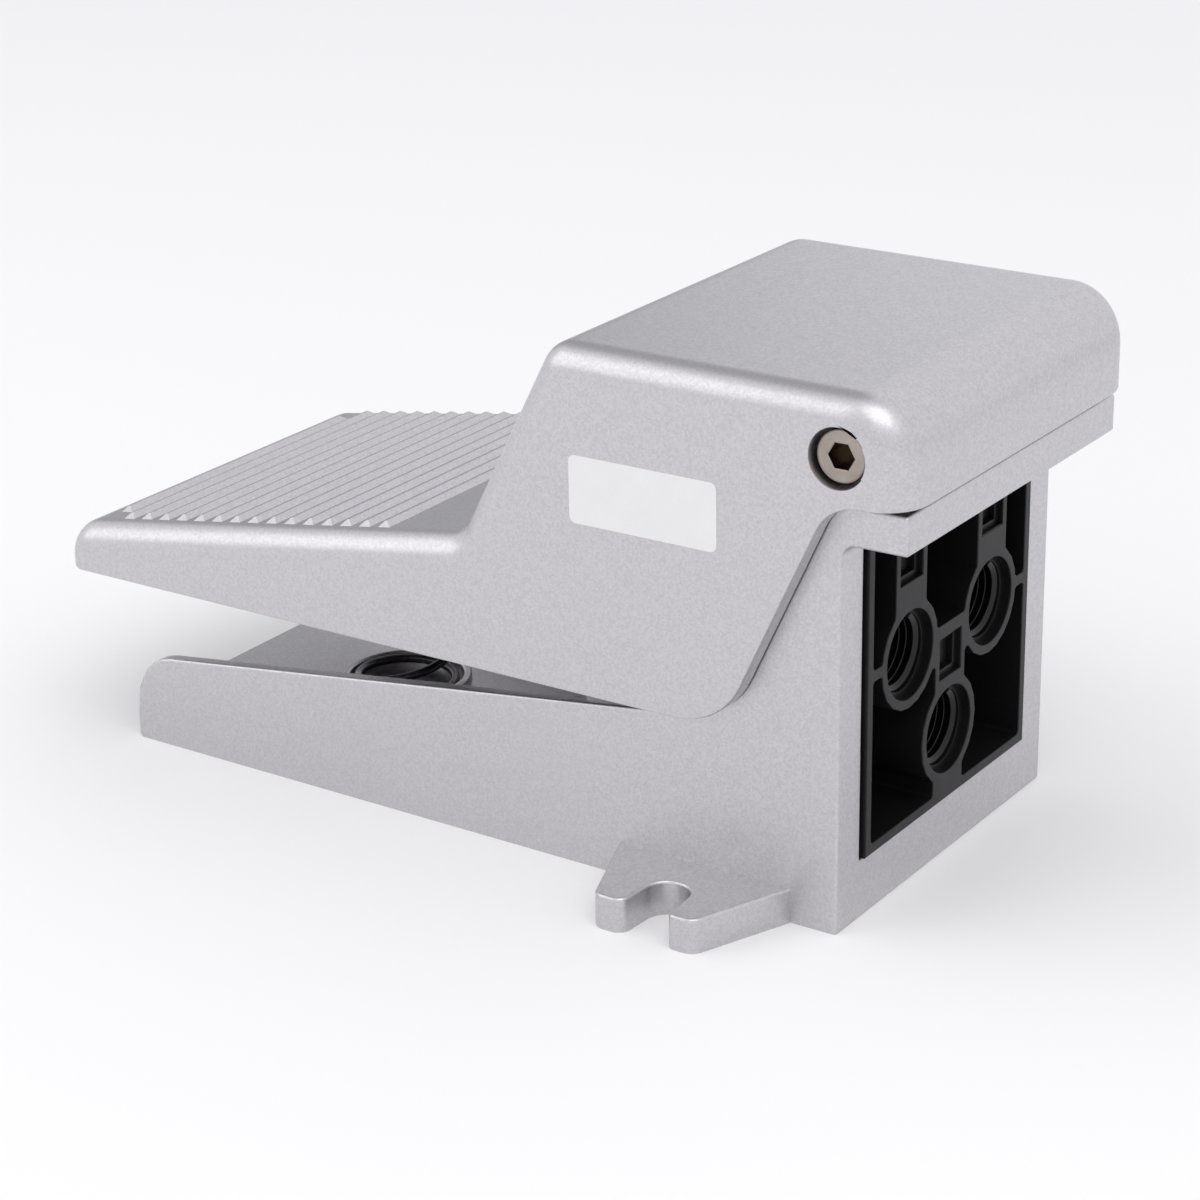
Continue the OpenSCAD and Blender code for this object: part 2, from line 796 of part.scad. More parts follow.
module pedal_spring() {
    color("#2a2a2c") translate([0, -spring_y, 0])
        coil(spring_d / 2 - spring_wire / 2, spring_wire / 2, cup_floor + spring_end_gap,
             spring_seat_z - spring_end_gap, spring_turns, spring_start, 20, 8);
}

// Side view of the pedal's upper skin, drawn inwards from its outer faces and left open below
module pedal_side(in, low) {
    drop = in / cos(tread_slope);
    back = in / sin(hood_slope);
    foot = -slope_foot + (back * tan(hood_slope) - drop) / (tan(hood_slope) - tan(tread_slope));
    foot_z = tread_z(foot) - drop;
    top = crown_z - in;
    polygon(rounded([
        [toe_y + in, low, 0],
        [toe_y + in, tread_z(toe_y + in) - drop, max(cast_r, toe_r - in)],
        [foot, foot_z, foot_r + in],
        [foot + (top - foot_z) / tan(hood_slope), top, max(cast_r, brow_r - in)],
        [hood_rear - in, top, max(cast_r, back_r - in)],
        [hood_rear - in, low, 0]]));
}

// Plan of the pedal, drawn inwards from its outer faces
module pedal_plan(in, side) {
    half = pedal_w / 2 - side;
    toe = max(cast_r, toe_corner_r - in);
    rear = max(cast_r, corner_r - in);
    polygon(rounded([
        [-half, toe_y + in, toe],
        [half, toe_y + in, toe],
        [half, hood_rear - in, rear],
        [-half, hood_rear - in, rear]]));
}

// The cheek's own outline: level below, slanting up over the tower, level along the visor
module cheek_side() {
    polygon(rounded([
        [toe_y - past, pedal_low_z, 0],
        [cheek_heel, pedal_low_z, heel_r],
        [cheek_top, rest_z, throat_r],
        [hood_rear + past, rest_z, 0],
        [hood_rear + past, crown_z + past, 0],
        [toe_y - past, crown_z + past, 0]]));
}

// A long bar with rounded upper edges, its top passing through a point at an angle
module rounded_bar(y, z, slope) {
    long = 4 * front_reach;
    half = pedal_w / 2;
    translate([0, y, z]) rotate([slope, 0, 0]) forwards(long / 2, long)
        polygon(rounded([[-half, -long, 0], [half, -long, 0], [half, 0, edge_r], [-half, 0, edge_r]]));
}

// Outer skin before it is hollowed: tread and hood, with rounded edges all round the top
module pedal_skin() {
    intersection() {
        linear_extrude(crown_z + past) pedal_plan(0, 0);
        union() {
            across(pedal_w - 2 * edge_r) pedal_side(0, 0);
            intersection() {
                across(pedal_w + past) pedal_side(0, 0);
                union() {
                    rounded_bar(toe_y, toe_z, tread_slope);
                    intersection() {
                        rounded_bar(-slope_foot, tread_z(-slope_foot), hood_slope);
                        rounded_bar(hood_rear, crown_z, 0);
                    }
                }
            }
        }
    }
}

// A tread ridge of V section with sloping ends, at a place along the tread
module ridge(y, half) {
    sink = 0.3;
    hip = ridge_h * 1.6;
    translate([0, y, tread_z(y)]) rotate([tread_slope, 0, 0]) polyhedron(
        [[-half, -ridge_w / 2, -sink], [half, -ridge_w / 2, -sink], [half, ridge_w / 2, -sink],
         [-half, ridge_w / 2, -sink], [-half + hip, 0, ridge_h], [half - hip, 0, ridge_h]],
        [[0, 1, 2, 3], [0, 4, 5, 1], [1, 5, 2], [2, 5, 4, 3], [3, 4, 0]]);
}

module tread() {
    half = pedal_w / 2 - ridge_border;
    for (i = [0:ridges - 1]) ridge(toe_y + ridge_start + i * ridge_pitch, half);
    ridge(toe_y + ridge_start - ridge_pitch, half - first_ridge_in);
}

module pedal_cover() {
    color("silver") difference() {
        union() {
            difference() {
                union() {
                    intersection() {
                        pedal_skin();
                        across(pedal_w + 2 * past) cheek_side();
                    }
                    tread();
                }
                // The hollow of the shell
                intersection() {
                    across(2 * cheek_in) pedal_side(skin_t, 0);
                    linear_extrude(crown_z) pedal_plan(skin_t, cheek_t);
                }
            }
            // Pivot bosses, spring seat and pusher boss
            both_sides() bar_x(boss_r, ear_x + ear_play, cheek_in + past, pivot_y, axis_z);
            intersection() {
                bar_z(spring_seat_r, spring_seat_z, crown_z, 0, -spring_y);
                across(2 * cheek_in) pedal_side(skin_t / 2, 0);
            }
            bar_z(spigot_r, spring_seat_z - spigot_len, spring_seat_z + past, 0, -spring_y);
            bar_z(stud_boss_r, stud_neck, ceiling_z + past);
        }
        both_sides() {
            bar_x(pivot_bore_d / 2, bush_out, cheek_x + past, pivot_y, axis_z);
            bar_x(bush_r + seat, 0, cheek_x, pivot_y, axis_z);
        }
        bar_z(stud_r + seat, stud_low, stud_bore_z);
    }
}

module push_stud() {
    color("gainsboro") {
        intersection() {
            translate([0, spool_y, stud_low + dome_r]) sphere(r = dome_r);
            bar_z(dome_r - face_gap, 0, stud_neck);
        }
        bar_z(stud_r, stud_neck - past, shank_top);
    }
}

base_housing();
valve_body();
body_screws();
spool_liner();
liner_seals();
top_gland();
rod_wiper();
end_cap();
end_cap_seal();
end_cap_clip();
gallery_plugs();
return_spring();
pivot_screws();
pivot_nuts();
pedal_spring();
pedal_cover();
pivot_bushes();
push_stud();
spool();
spool_seals();
plunger_button();
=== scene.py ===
"""Looks of the foot pedal air valve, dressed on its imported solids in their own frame.

Sizes are millimetres in the code and metres in Blender. X runs across, Y points to the ports at
the rear, and Z is up.
"""

import logging
import math
from collections.abc import Callable, Iterator, Sequence
from contextlib import contextmanager
from dataclasses import dataclass, field
from enum import Enum
from itertools import pairwise

import bpy
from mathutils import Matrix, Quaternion, Vector


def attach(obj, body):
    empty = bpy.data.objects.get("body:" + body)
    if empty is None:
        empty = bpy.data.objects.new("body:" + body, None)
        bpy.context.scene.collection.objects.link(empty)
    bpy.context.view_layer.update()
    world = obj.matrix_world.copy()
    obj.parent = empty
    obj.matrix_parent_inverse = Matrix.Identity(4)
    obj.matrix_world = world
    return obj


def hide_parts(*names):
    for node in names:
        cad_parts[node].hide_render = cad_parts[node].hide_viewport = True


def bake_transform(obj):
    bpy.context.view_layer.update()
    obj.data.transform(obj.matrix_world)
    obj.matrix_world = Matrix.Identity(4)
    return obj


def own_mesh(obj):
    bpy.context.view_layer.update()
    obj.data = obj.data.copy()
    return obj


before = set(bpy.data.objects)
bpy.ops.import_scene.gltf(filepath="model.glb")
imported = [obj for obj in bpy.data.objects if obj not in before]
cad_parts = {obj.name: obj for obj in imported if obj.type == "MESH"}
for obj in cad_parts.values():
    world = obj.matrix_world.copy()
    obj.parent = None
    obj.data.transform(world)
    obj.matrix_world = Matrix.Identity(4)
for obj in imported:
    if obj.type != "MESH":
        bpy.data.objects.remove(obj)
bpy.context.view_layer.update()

# Metres in a millimetre
MM = 0.001
# Play when two places are compared, in millimetres
NEAR = 0.02
# Gap between points that are merged, in metres
WELD = MM / 1000
# Angle up to which threads and wire are shaded smooth, in degrees
ROUND_SHADE = 50.0

Corner = tuple[float, float, float]
Point = tuple[float, float]
Place = tuple[float, float, float]
Colour = tuple[float, float, float]
Piece = bpy.types.Object
Socket = bpy.types.NodeSocket
PlaceOf = Callable[[float, float], Place]
EdgeTest = Callable[[Vector, Vector], bool]
EdgeRadius = Callable[[Vector, Vector], float]

log = logging.getLogger("pedal_valve")


class Pick(Enum):
    """What edit mode selects, in the order of its switches."""

    VERT = "VERT"
    EDGE = "EDGE"
    FACE = "FACE"


class Join(Enum):
    """How one shape is combined with another."""

    ADD = "UNION"
    CUT = "DIFFERENCE"


class Axis(Enum):
    """A main axis, with the turn that lays an upright primitive along it."""

    X = (0.0, math.pi / 2, 0.0)
    Y = (math.pi / 2, 0.0, 0.0)
    Z = (0.0, 0.0, 0.0)


def clear() -> None:
    """Leaves edit mode and deselects everything."""
    active = bpy.context.view_layer.objects.active
    if active is not None and active.mode != "OBJECT":
        bpy.ops.object.mode_set(mode="OBJECT")
    bpy.ops.object.select_all(action="DESELECT")


def take(piece: Piece, *others: Piece) -> None:
    """Selects only these pieces and makes the first one active.

    Args:
        piece: The piece that becomes active.
        others: Further pieces.
    """
    clear()
    for each in (piece, *others):
        each.select_set(True)
    bpy.context.view_layer.objects.active = piece


@contextmanager
def editing(piece: Piece, pick: Pick = Pick.VERT, everything: bool = True) -> Iterator[None]:
    """Opens a piece in edit mode and closes it again.

    Args:
        piece: The piece to edit.
        pick: What edit mode selects.
        everything: Whether the whole mesh is selected first.
    """
    take(piece)
    bpy.context.tool_settings.mesh_select_mode = [each is pick for each in Pick]
    bpy.ops.object.mode_set(mode="EDIT")
    if everything:
        bpy.ops.mesh.select_all(action="SELECT")
    yield
    bpy.ops.object.mode_set(mode="OBJECT")


def settle(piece: Piece) -> None:
    """Moves a piece's place, turn and scale into its mesh."""
    take(piece)
    bpy.ops.object.transform_apply(location=True, rotation=True, scale=True)


def named(name: str) -> Piece:
    """Names the primitive that was just added and settles it.

    Args:
        name: The piece's name.

    Returns:
        The piece.
    """
    piece = bpy.context.object
    piece.name = name
    piece.data.name = name
    settle(piece)
    return piece


def rounded(corners: Sequence[Corner], step: float = 6.0) -> list[Point]:
    """Draws an outline whose corners are arcs.

    Args:
        corners: The corners as (u, v, radius), in order round the outline.
        step: The turn between two points of an arc, in degrees.

    Returns:
        The points of the outline.
    """
    points: list[Point] = []
    for i, (u, v, radius) in enumerate(corners):
        here = Vector((u, v))
        if radius == 0:
            points.append((u, v))
            continue
        before = (Vector(corners[i - 1][:2]) - here).normalized()
        after = (Vector(corners[(i + 1) % len(corners)][:2]) - here).normalized()
        half = before.angle(after) / 2
        centre = here + (before + after).normalized() * radius / math.sin(half)
        first = here + before * radius / math.tan(half) - centre
        last = here + after * radius / math.tan(half) - centre
        start = math.atan2(first.y, first.x)
        turn = math.atan2(first.x * last.y - first.y * last.x, first.dot(last))
        steps = max(2, math.ceil(abs(math.degrees(turn)) / step))
        for k in range(steps + 1):
            angle = start + turn * k / steps
            points.append((centre.x + radius * math.cos(angle), centre.y + radius * math.sin(angle)))
    return points


def drawn(name: str, points: Sequence[Point], at: PlaceOf) -> Piece:
    """Draws a line from point to point.

    Args:
        name: The piece's name.
        points: The points of the line.
        at: Gives the place of a point.

    Returns:
        The line, as edges without faces.
    """
    places = [Vector(at(*point)) * MM for point in points]
    clear()
    bpy.ops.mesh.primitive_plane_add(size=MM, location=places[0])
    piece = named(name)
    with editing(piece):
        bpy.ops.mesh.merge(type="CENTER")
        for here, there in pairwise(places):
            bpy.ops.mesh.extrude_vertices_move(TRANSFORM_OT_translate={"value": there - here})
    return piece


def prism(name: str, points: Sequence[Point], at: PlaceOf, along: Place) -> Piece:
    """Draws an outline, fills it and extrudes it.

    Args:
        name: The piece's name.
        points: The outline.
        at: Gives the place of an outline's point.
        along: How far and which way the outline is extruded.

    Returns:
        The closed prism.
    """
    piece = drawn(name, points, at)
    with editing(piece):
        bpy.ops.mesh.edge_face_add()
        bpy.ops.mesh.select_mode(type="FACE")
        bpy.ops.mesh.select_all(action="SELECT")
        bpy.ops.mesh.extrude_region_move(TRANSFORM_OT_translate={"value": Vector(along) * MM})
        bpy.ops.mesh.select_all(action="SELECT")
        bpy.ops.mesh.normals_make_consistent(inside=False)
    return piece


def bar(name: str, axis: Axis, radius: float, low: Place, length: float, sides: int = 64) -> Piece:
    """Adds a round bar that runs along an axis.

    Args:
        name: The piece's name.
        axis: The axis.
        radius: The bar's radius.
        low: The middle of the end where it starts.
        length: The bar's length.
        sides: Faces round the bar.

    Returns:
        The bar.
    """
    clear()
    middle = Vector([length / 2 if each is axis else 0 for each in Axis])
    bpy.ops.mesh.primitive_cylinder_add(
        vertices=sides, radius=radius * MM, depth=length * MM,
        location=(Vector(low) + middle) * MM, rotation=axis.value)
    return named(name)


def turned(name: str, profile: Sequence[Point], at: PlaceOf, centre: Place, axis: Place,
           steps: int = 64) -> Piece:
    """Spins a half outline round an axis.

    Args:
        name: The piece's name.
        profile: Points of the half outline, from the axis and back to it.
        at: Gives the place of a profile's point.
        centre: A point of the axis.
        axis: The direction of the axis.
        steps: Faces round the piece.

    Returns:
        The closed turned piece.
    """
    piece = drawn(name, profile, at)
    with editing(piece):
        bpy.ops.mesh.spin(steps=steps, angle=math.tau, center=Vector(centre) * MM, axis=axis)
        bpy.ops.mesh.select_all(action="SELECT")
        bpy.ops.mesh.remove_doubles(threshold=WELD)
        bpy.ops.mesh.normals_make_consistent(inside=False)
    return piece


def sweep(piece: Piece, axis: Axis, turns: float, rise: float, steps: int, repeats: int = 1) -> None:
    """Sweeps an outline into a helix.

    Args:
        piece: The outline.
        axis: The axis that it turns round and climbs along.
        turns: Turns of one sweep.
        rise: How far one sweep climbs.
        steps: Steps of one sweep.
        repeats: How many sweeps follow each other.
    """
    take(piece)
    modifier = piece.modifiers.new("helix", "SCREW")
    modifier.axis = axis.name
    modifier.angle = math.tau * turns
    modifier.iterations = repeats
    modifier.screw_offset = rise * MM
    modifier.steps = modifier.render_steps = steps
    modifier.use_merge_vertices = False
    bpy.ops.object.modifier_apply(modifier=modifier.name)


def close_ends(piece: Piece) -> None:
    """Fills the open ends of a swept piece and turns its faces outwards.

    Args:
        piece: The swept piece.
    """
    with editing(piece, Pick.EDGE, everything=False):
        bpy.ops.mesh.select_all(action="DESELECT")
        bpy.ops.mesh.select_non_manifold(extend=False)
        bpy.ops.mesh.fill_holes(sides=0)
        bpy.ops.mesh.select_all(action="SELECT")
        bpy.ops.mesh.normals_make_consistent(inside=False)


def combine(piece: Piece, tool: Piece, how: Join) -> None:
    """Adds a tool's shape to a piece or cuts it away, and removes the tool.

    Args:
        piece: The piece.
        tool: The shape that is added or cut away.
        how: Which of the two.
    """
    take(piece)
    modifier = piece.modifiers.new("combine", "BOOLEAN")
    modifier.operation = how.value
    modifier.solver = "EXACT"
    modifier.object = tool
    bpy.ops.object.modifier_apply(modifier=modifier.name)
    bpy.data.objects.remove(tool)


def joined(name: str, pieces: Sequence[Piece]) -> Piece:
    """Joins pieces into the first of them.

    Args:
        name: The joined piece's name.
        pieces: The pieces.

    Returns:
        The joined piece.
    """
    take(*pieces)
    bpy.ops.object.join()
    pieces[0].name = name
    return pieces[0]


def copied(piece: Piece, name: str) -> Piece:
    """Copies a piece, with a mesh of its own.

    Args:
        piece: The piece.
        name: The copy's name.

    Returns:
        The copy.
    """
    twin = bpy.data.objects.new(name, piece.data.copy())
    twin.data.name = name
    bpy.context.scene.collection.objects.link(twin)
    return twin


def mirrored(piece: Piece, name: str) -> Piece:
    """Copies a piece to the other side of the middle plane.

    Args:
        piece: The piece.
        name: The copy's name.

    Returns:
        The mirrored copy.
    """
    twin = copied(piece, name)
    twin.scale.x = -1
    settle(twin)
    with editing(twin):
        bpy.ops.mesh.normals_make_consistent(inside=False)
    return twin


def cad_copy(node: str, name: str, flat: float = 0.4) -> Piece:
    """Copies a solid's mesh, with its triangles merged into whole faces.

    Args:
        node: The solid's name.
        name: The new piece's name.
        flat: The angle up to which neighbouring faces are merged, in degrees.

    Returns:
        The copy.
    """
    piece = copied(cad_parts[node], name)
    piece.data.materials.clear()
    take(piece)
    if piece.data.has_custom_normals:
        bpy.ops.mesh.customdata_custom_splitnormals_clear()
    with editing(piece):
        bpy.ops.mesh.remove_doubles(threshold=WELD)
        bpy.ops.mesh.mark_sharp(clear=True)
        bpy.ops.mesh.dissolve_limited(angle_limit=math.radians(flat))
    return piece


def round_edges(piece: Piece, radius_of: EdgeRadius, segments: int) -> None:
    """Rounds edges, each with its own radius.

    Args:
        piece: The piece.
        radius_of: Gives the radius of an edge between two points, or 0 to leave it sharp.
        segments: Faces across a rounding.
    """
    mesh = piece.data
    ends = [[mesh.vertices[v].co / MM for v in edge.vertices] for edge in mesh.edges]
    radii = [radius_of(*pair) for pair in ends]
    widest = max(radii)
    weights = mesh.attributes.new("bevel_weight_edge", "FLOAT", "EDGE")
    weights.data.foreach_set("value", [radius / widest for radius in radii])
    take(piece)
    modifier = piece.modifiers.new("round", "BEVEL")
    modifier.limit_method = "WEIGHT"
    modifier.offset_type = "OFFSET"
    modifier.width = widest * MM
    modifier.segments = segments
    modifier.use_clamp_overlap = False
    bpy.ops.object.modifier_apply(modifier=modifier.name)
    spare = mesh.attributes.get("bevel_weight_edge")
    if spare is not None:
        mesh.attributes.remove(spare)


def pick_above(piece: Piece, level: float) -> None:
    """Selects the part of a piece that lies wholly above a height.

    Args:
        piece: The piece, in object mode.
        level: The height.
    """
    mesh = piece.data
    above = [vert.co.z / MM > level for vert in mesh.vertices]
    mesh.vertices.foreach_set("select", above)
    for group in (mesh.edges, mesh.polygons):
        group.foreach_set("select", [all(above[v] for v in item.vertices) for item in group])


def pick_edges(piece: Piece, test: EdgeTest, sharper: float = 30.0) -> int:
    """Selects a piece's sharp edges that stick out, by their place.

    Args:
        piece: The piece, in object mode.
        test: Says whether an edge between two points is wanted.
        sharper: The least angle between an edge's faces, in degrees.

    Returns:
        The number of edges selected.
    """
    mesh = piece.data
    beside: dict[tuple[int, int], list[tuple[Vector, Vector]]] = {}
    for face in mesh.polygons:
        loop = list(face.vertices)
        for one, two in zip(loop, loop[1:] + loop[:1]):
            into = face.normal.cross(mesh.vertices[two].co - mesh.vertices[one].co)
            beside.setdefault((min(one, two), max(one, two)), []).append((face.normal, into))
    for group in (mesh.vertices, mesh.edges, mesh.polygons):
        group.foreach_set("select", [False] * len(group))
    count = 0
    limit = math.cos(math.radians(sharper))
    for edge in mesh.edges:
        faces = beside.get(edge.key, [])
        if len(faces) != 2 or faces[0][0].dot(faces[1][0]) > limit or faces[0][0].dot(faces[1][1]) > 0:
            continue
        one, two = (mesh.vertices[v].co / MM for v in edge.vertices)
        if test(one, two):
            edge.select = True
            count += 1
    return count


def soften(piece: Piece, test: EdgeTest, radius: float, segments: int = 2, sharper: float = 30.0) -> None:
    """Rounds the sharp outward edges that a test picks, all by one radius.

    Args:
        piece: The piece.
        test: Says whether an edge between two points is wanted.
        radius: The radius.
        segments: Faces across a rounding.
        sharper: The least angle between an edge's faces, in degrees.
    """
    count = pick_edges(piece, test, sharper)
    if not count:
        log.warning("%s: no edge to soften", piece.name)
        return
    with editing(piece, Pick.EDGE, everything=False):
        bpy.ops.mesh.bevel(offset=radius * MM, offset_type="OFFSET", segments=segments,
                           profile=0.5, affect="EDGES", clamp_overlap=False)
    log.info("%s: %d edges softened", piece.name, count)


def smooth(piece: Piece, angle: float = 32.0) -> None:
    """Shades a piece smooth up to an angle, with flat faces kept flat.

    Args:
        piece: The piece.
        angle: The largest angle between faces that is shaded smooth, in degrees.
    """
    take(piece)
    bpy.ops.object.shade_smooth_by_angle(angle=math.radians(angle))
    modifier = piece.modifiers.new("normals", "WEIGHTED_NORMAL")
    modifier.keep_sharp = True
    bpy.ops.object.modifier_apply(modifier=modifier.name)


class Pattern(Enum):
    """A surface pattern that finishes share."""

    BLASTED = "blasted_grain"
    MOULDED = "moulded_grain"
    TURNED = "turned_lines"
    DRAWN = "drawn_wire"


class Nodes:
    """Adds shader nodes to a tree and links them."""

    def __init__(self, tree: bpy.types.NodeTree) -> None:
        """Keeps the tree."""
        self.tree = tree

    def add(self, kind: str, inputs: dict[str, object] | None = None, **settings: object) -> bpy.types.Node:
        """Adds a node.

        Args:
            kind: The node's type.
            inputs: Values of its sockets, or sockets to link them to.
            settings: Values of its own properties.

        Returns:
            The node.
        """
        node = self.tree.nodes.new(kind)
        for key, value in settings.items():
            setattr(node, key, value)
        for key, value in (inputs or {}).items():
            if isinstance(value, bpy.types.NodeSocket):
                self.tree.links.new(value, node.inputs[key])
            else:
                node.inputs[key].default_value = value
        return node

    def noise(self, where: Socket, scale: Socket | float, detail: float, rough: float) -> Socket:
        """Adds a noise.

        Args:
            where: The coordinates.
            scale: The noise's scale.
            detail: Its layers.
            rough: How much the finer layers count.

        Returns:
            The noise's value.
        """
        node = self.add("ShaderNodeTexNoise", {
            "Vector": where, "Scale": scale, "Detail": detail, "Roughness": rough})
        return node.outputs["Fac"]

    def math(self, operation: str, one: object, two: object = 0.0) -> Socket:
        """Adds a calculation.

        Args:
            operation: What is done with the values.
            one: The first value, or a socket to link it to.
            two: The second value, or a socket to link it to.

        Returns:
            The result.
        """
        node = self.add("ShaderNodeMath", operation=operation)
        for socket, value in zip(node.inputs, (one, two)):
            if isinstance(value, bpy.types.NodeSocket):
                self.tree.links.new(value, socket)
            else:
                socket.default_value = value
        return node.outputs[0]

    def shared(self, one: Socket, share: float, two: Socket) -> Socket:
        """Adds a share of one value to the rest of another and returns the sum."""
        return self.math("ADD", self.math("MULTIPLY", one, share), self.math("MULTIPLY", two, 1 - share))

    def raised(self, base: Socket, extra: Socket, share: float) -> Socket:
        """Adds a share of an extra value to a base value and returns the sum."""
        return self.math("ADD", base, self.math("MULTIPLY", extra, share))


def pattern_group(pattern: Pattern) -> bpy.types.NodeTree:
    """Builds the node group of a surface pattern once.

    Args:
        pattern: The pattern.

    Returns:
        The group, with inputs Vector and Scale and outputs Tone and Height.
    """
    ready = bpy.data.node_groups.get(pattern.value)
    if ready is not None:
        return ready
    tree = bpy.data.node_groups.new(pattern.value, "ShaderNodeTree")
    for name, way, kind in (
            ("Vector", "INPUT", "NodeSocketVector"), ("Scale", "INPUT", "NodeSocketFloat"),
            ("Tone", "OUTPUT", "NodeSocketFloat"), ("Height", "OUTPUT", "NodeSocketFloat")):
        tree.interface.new_socket(name, in_out=way, socket_type=kind)
    nodes = Nodes(tree)
    source = nodes.add("NodeGroupInput")
    where, scale = source.outputs["Vector"], source.outputs["Scale"]
    coarse_scale, cell_scale, line_scale = 0.12, 0.55, 6.0
    coarse = nodes.noise(where, nodes.math("MULTIPLY", scale, coarse_scale), detail=3.0, rough=0.6)
    fine = nodes.noise(where, scale, detail=2.0, rough=0.6)
    if pattern is Pattern.BLASTED:
        cells = nodes.add("ShaderNodeTexVoronoi", {
            "Vector": where, "Scale": nodes.math("MULTIPLY", scale, cell_scale), "Randomness": 1.0})
        spark = nodes.add("ShaderNodeSeparateColor", {"Color": cells.outputs["Color"]}).outputs[0]
        grain = nodes.shared(spark, 0.5, fine)
        tone = nodes.shared(grain, 0.88, coarse)
        height = nodes.raised(fine, spark, 0.5)
    elif pattern is Pattern.MOULDED:
        tone = nodes.shared(fine, 0.4, coarse)
        height = fine
    elif pattern is Pattern.TURNED:
        apart = nodes.add("ShaderNodeSeparateXYZ", {"Vector": where})
        wide = nodes.add("ShaderNodeVectorMath", {0: where}, operation="LENGTH").outputs["Value"]
        lines = nodes.math("ADD", wide, apart.outputs["Z"])
        density = nodes.math("MULTIPLY", scale, line_scale)
        groove = nodes.math("SINE", nodes.math("MULTIPLY", lines, density))
        height = nodes.raised(fine, groove, 0.3)
        tone = nodes.raised(coarse, groove, 0.1)
    else:
        tone = nodes.shared(fine, 0.3, coarse)
        height = coarse
    nodes.add("NodeGroupOutput", {"Tone": tone, "Height": height})
    return tree


@dataclass(frozen=True)
class Finish:
    """A procedural finish of one slot of the record.

    The tone of the pattern runs from dark to light, and over the given span of tones the roughness
    falls from its second value to its first. Grain is the pattern's scale, and relief is in millimetres.
    """

    slot: str
    pattern: Pattern
    dark: Colour
    light: Colour
    metallic: float
    roughness: tuple[float, float]
    grain: float
    relief: float
    shine: float = 0.5
    centre: Place = (0.0, 0.0, 0.0)
    kind: str = "finish"
    tones: tuple[float, float] = (0.2, 0.8)

    def material(self) -> bpy.types.Material:
        """Builds the finish's material once.

        Returns:
            The material.
        """
        name = f"{self.slot}_{self.kind}"
        ready = bpy.data.materials.get(name)
        if ready is not None:
            return ready
        made = bpy.data.materials.new(name)
        made.use_nodes = True
        made.node_tree.nodes.clear()
        nodes = Nodes(made.node_tree)
        where = nodes.add("ShaderNodeTexCoord").outputs["Object"]
        moved = nodes.add("ShaderNodeMapping", {
            "Vector": where, "Location": [-c * MM for c in self.centre]}).outputs["Vector"]
        group = nodes.add("ShaderNodeGroup", node_tree=pattern_group(self.pattern))
        made.node_tree.links.new(moved, group.inputs["Vector"])
        group.inputs["Scale"].default_value = self.grain
        tone = group.outputs["Tone"]
        mixed = nodes.add("ShaderNodeMix", data_type="RGBA")
        made.node_tree.links.new(tone, mixed.inputs["Factor"])
        mixed.inputs["A"].default_value = (*self.dark, 1.0)
        mixed.inputs["B"].default_value = (*self.light, 1.0)
        colour = next(s for s in mixed.outputs if s.type == "RGBA" and s.enabled)
        rough = nodes.add("ShaderNodeMapRange", {
            "Value": tone, "From Min": self.tones[0], "From Max": self.tones[1],
            "To Min": self.roughness[1], "To Max": self.roughness[0]}).outputs["Result"]
        bump = nodes.add("ShaderNodeBump", {
            "Height": group.outputs["Height"], "Strength": 1.0, "Distance": self.relief * MM})
        shader = nodes.add("ShaderNodeBsdfPrincipled", {
            "Base Color": colour, "Roughness": rough, "Metallic": self.metallic,
            "Normal": bump.outputs["Normal"], "Specular IOR Level": self.shine})
        nodes.add("ShaderNodeOutputMaterial", {"Surface": shader.outputs["BSDF"]})
        return made


SPOOL_AXIS: Place = (0.0, -6.0, 0.0)
CAST = Finish(
    "cast_aluminium", Pattern.BLASTED, dark=(0.49, 0.48, 0.492), light=(0.66, 0.646, 0.663),
    metallic=1.0, roughness=(0.3, 0.4), grain=5200.0, relief=0.008)
PLASTIC = Finish(
    "black_plastic", Pattern.MOULDED, dark=(0.004, 0.004, 0.0045), light=(0.009, 0.009, 0.0095),
    metallic=0.0, roughness=(0.3, 0.42), grain=3000.0, relief=0.008, shine=0.22)
# Copy of the black plastic for the port threads: the lower roughness is gloss, and the darker colour is
# painted shade inside the bores
THREAD_GLOSS_AND_SHADE = Finish(
    "black_plastic", Pattern.MOULDED, dark=(0.002, 0.002, 0.0024), light=(0.004, 0.004, 0.0045),
    metallic=0.0, roughness=(0.08, 0.14), grain=3000.0, relief=0.004, shine=0.32, kind="gloss")
STEEL = Finish(
    "bright_steel", Pattern.TURNED, dark=(0.3, 0.255, 0.225), light=(0.44, 0.385, 0.345),
    metallic=1.0, roughness=(0.24, 0.38), grain=3000.0, relief=0.006)
# Darker copy of the bright steel for the faces inside the hex socket: painted shade of the deep socket,
# with lower roughness
PAINTED_SOCKET_SHADE = Finish(
    "bright_steel", Pattern.TURNED, dark=(0.11, 0.082, 0.06), light=(0.2, 0.155, 0.12),
    metallic=1.0, roughness=(0.1, 0.18), grain=3000.0, relief=0.006, kind="socket")
WIRE = Finish(
    "spring_steel", Pattern.DRAWN, dark=(0.05, 0.05, 0.055), light=(0.1, 0.1, 0.105),
    metallic=0.9, roughness=(0.16, 0.32), grain=1800.0, relief=0.01)
TURNED_ALLOY = Finish(
    "turned_aluminium", Pattern.TURNED, dark=(0.5, 0.51, 0.53), light=(0.66, 0.67, 0.69),
    metallic=1.0, roughness=(0.26, 0.4), grain=2500.0, relief=0.006, centre=SPOOL_AXIS)
RUBBER = Finish(
    "rubber", Pattern.MOULDED, dark=(0.012, 0.012, 0.012), light=(0.03, 0.03, 0.03),
    metallic=0.0, roughness=(0.6, 0.78), grain=2500.0, relief=0.02)
BRASS = Finish(
    "brass", Pattern.TURNED, dark=(0.5, 0.35, 0.14), light=(0.68, 0.5, 0.23),
    metallic=1.0, roughness=(0.26, 0.42), grain=2500.0, relief=0.006)
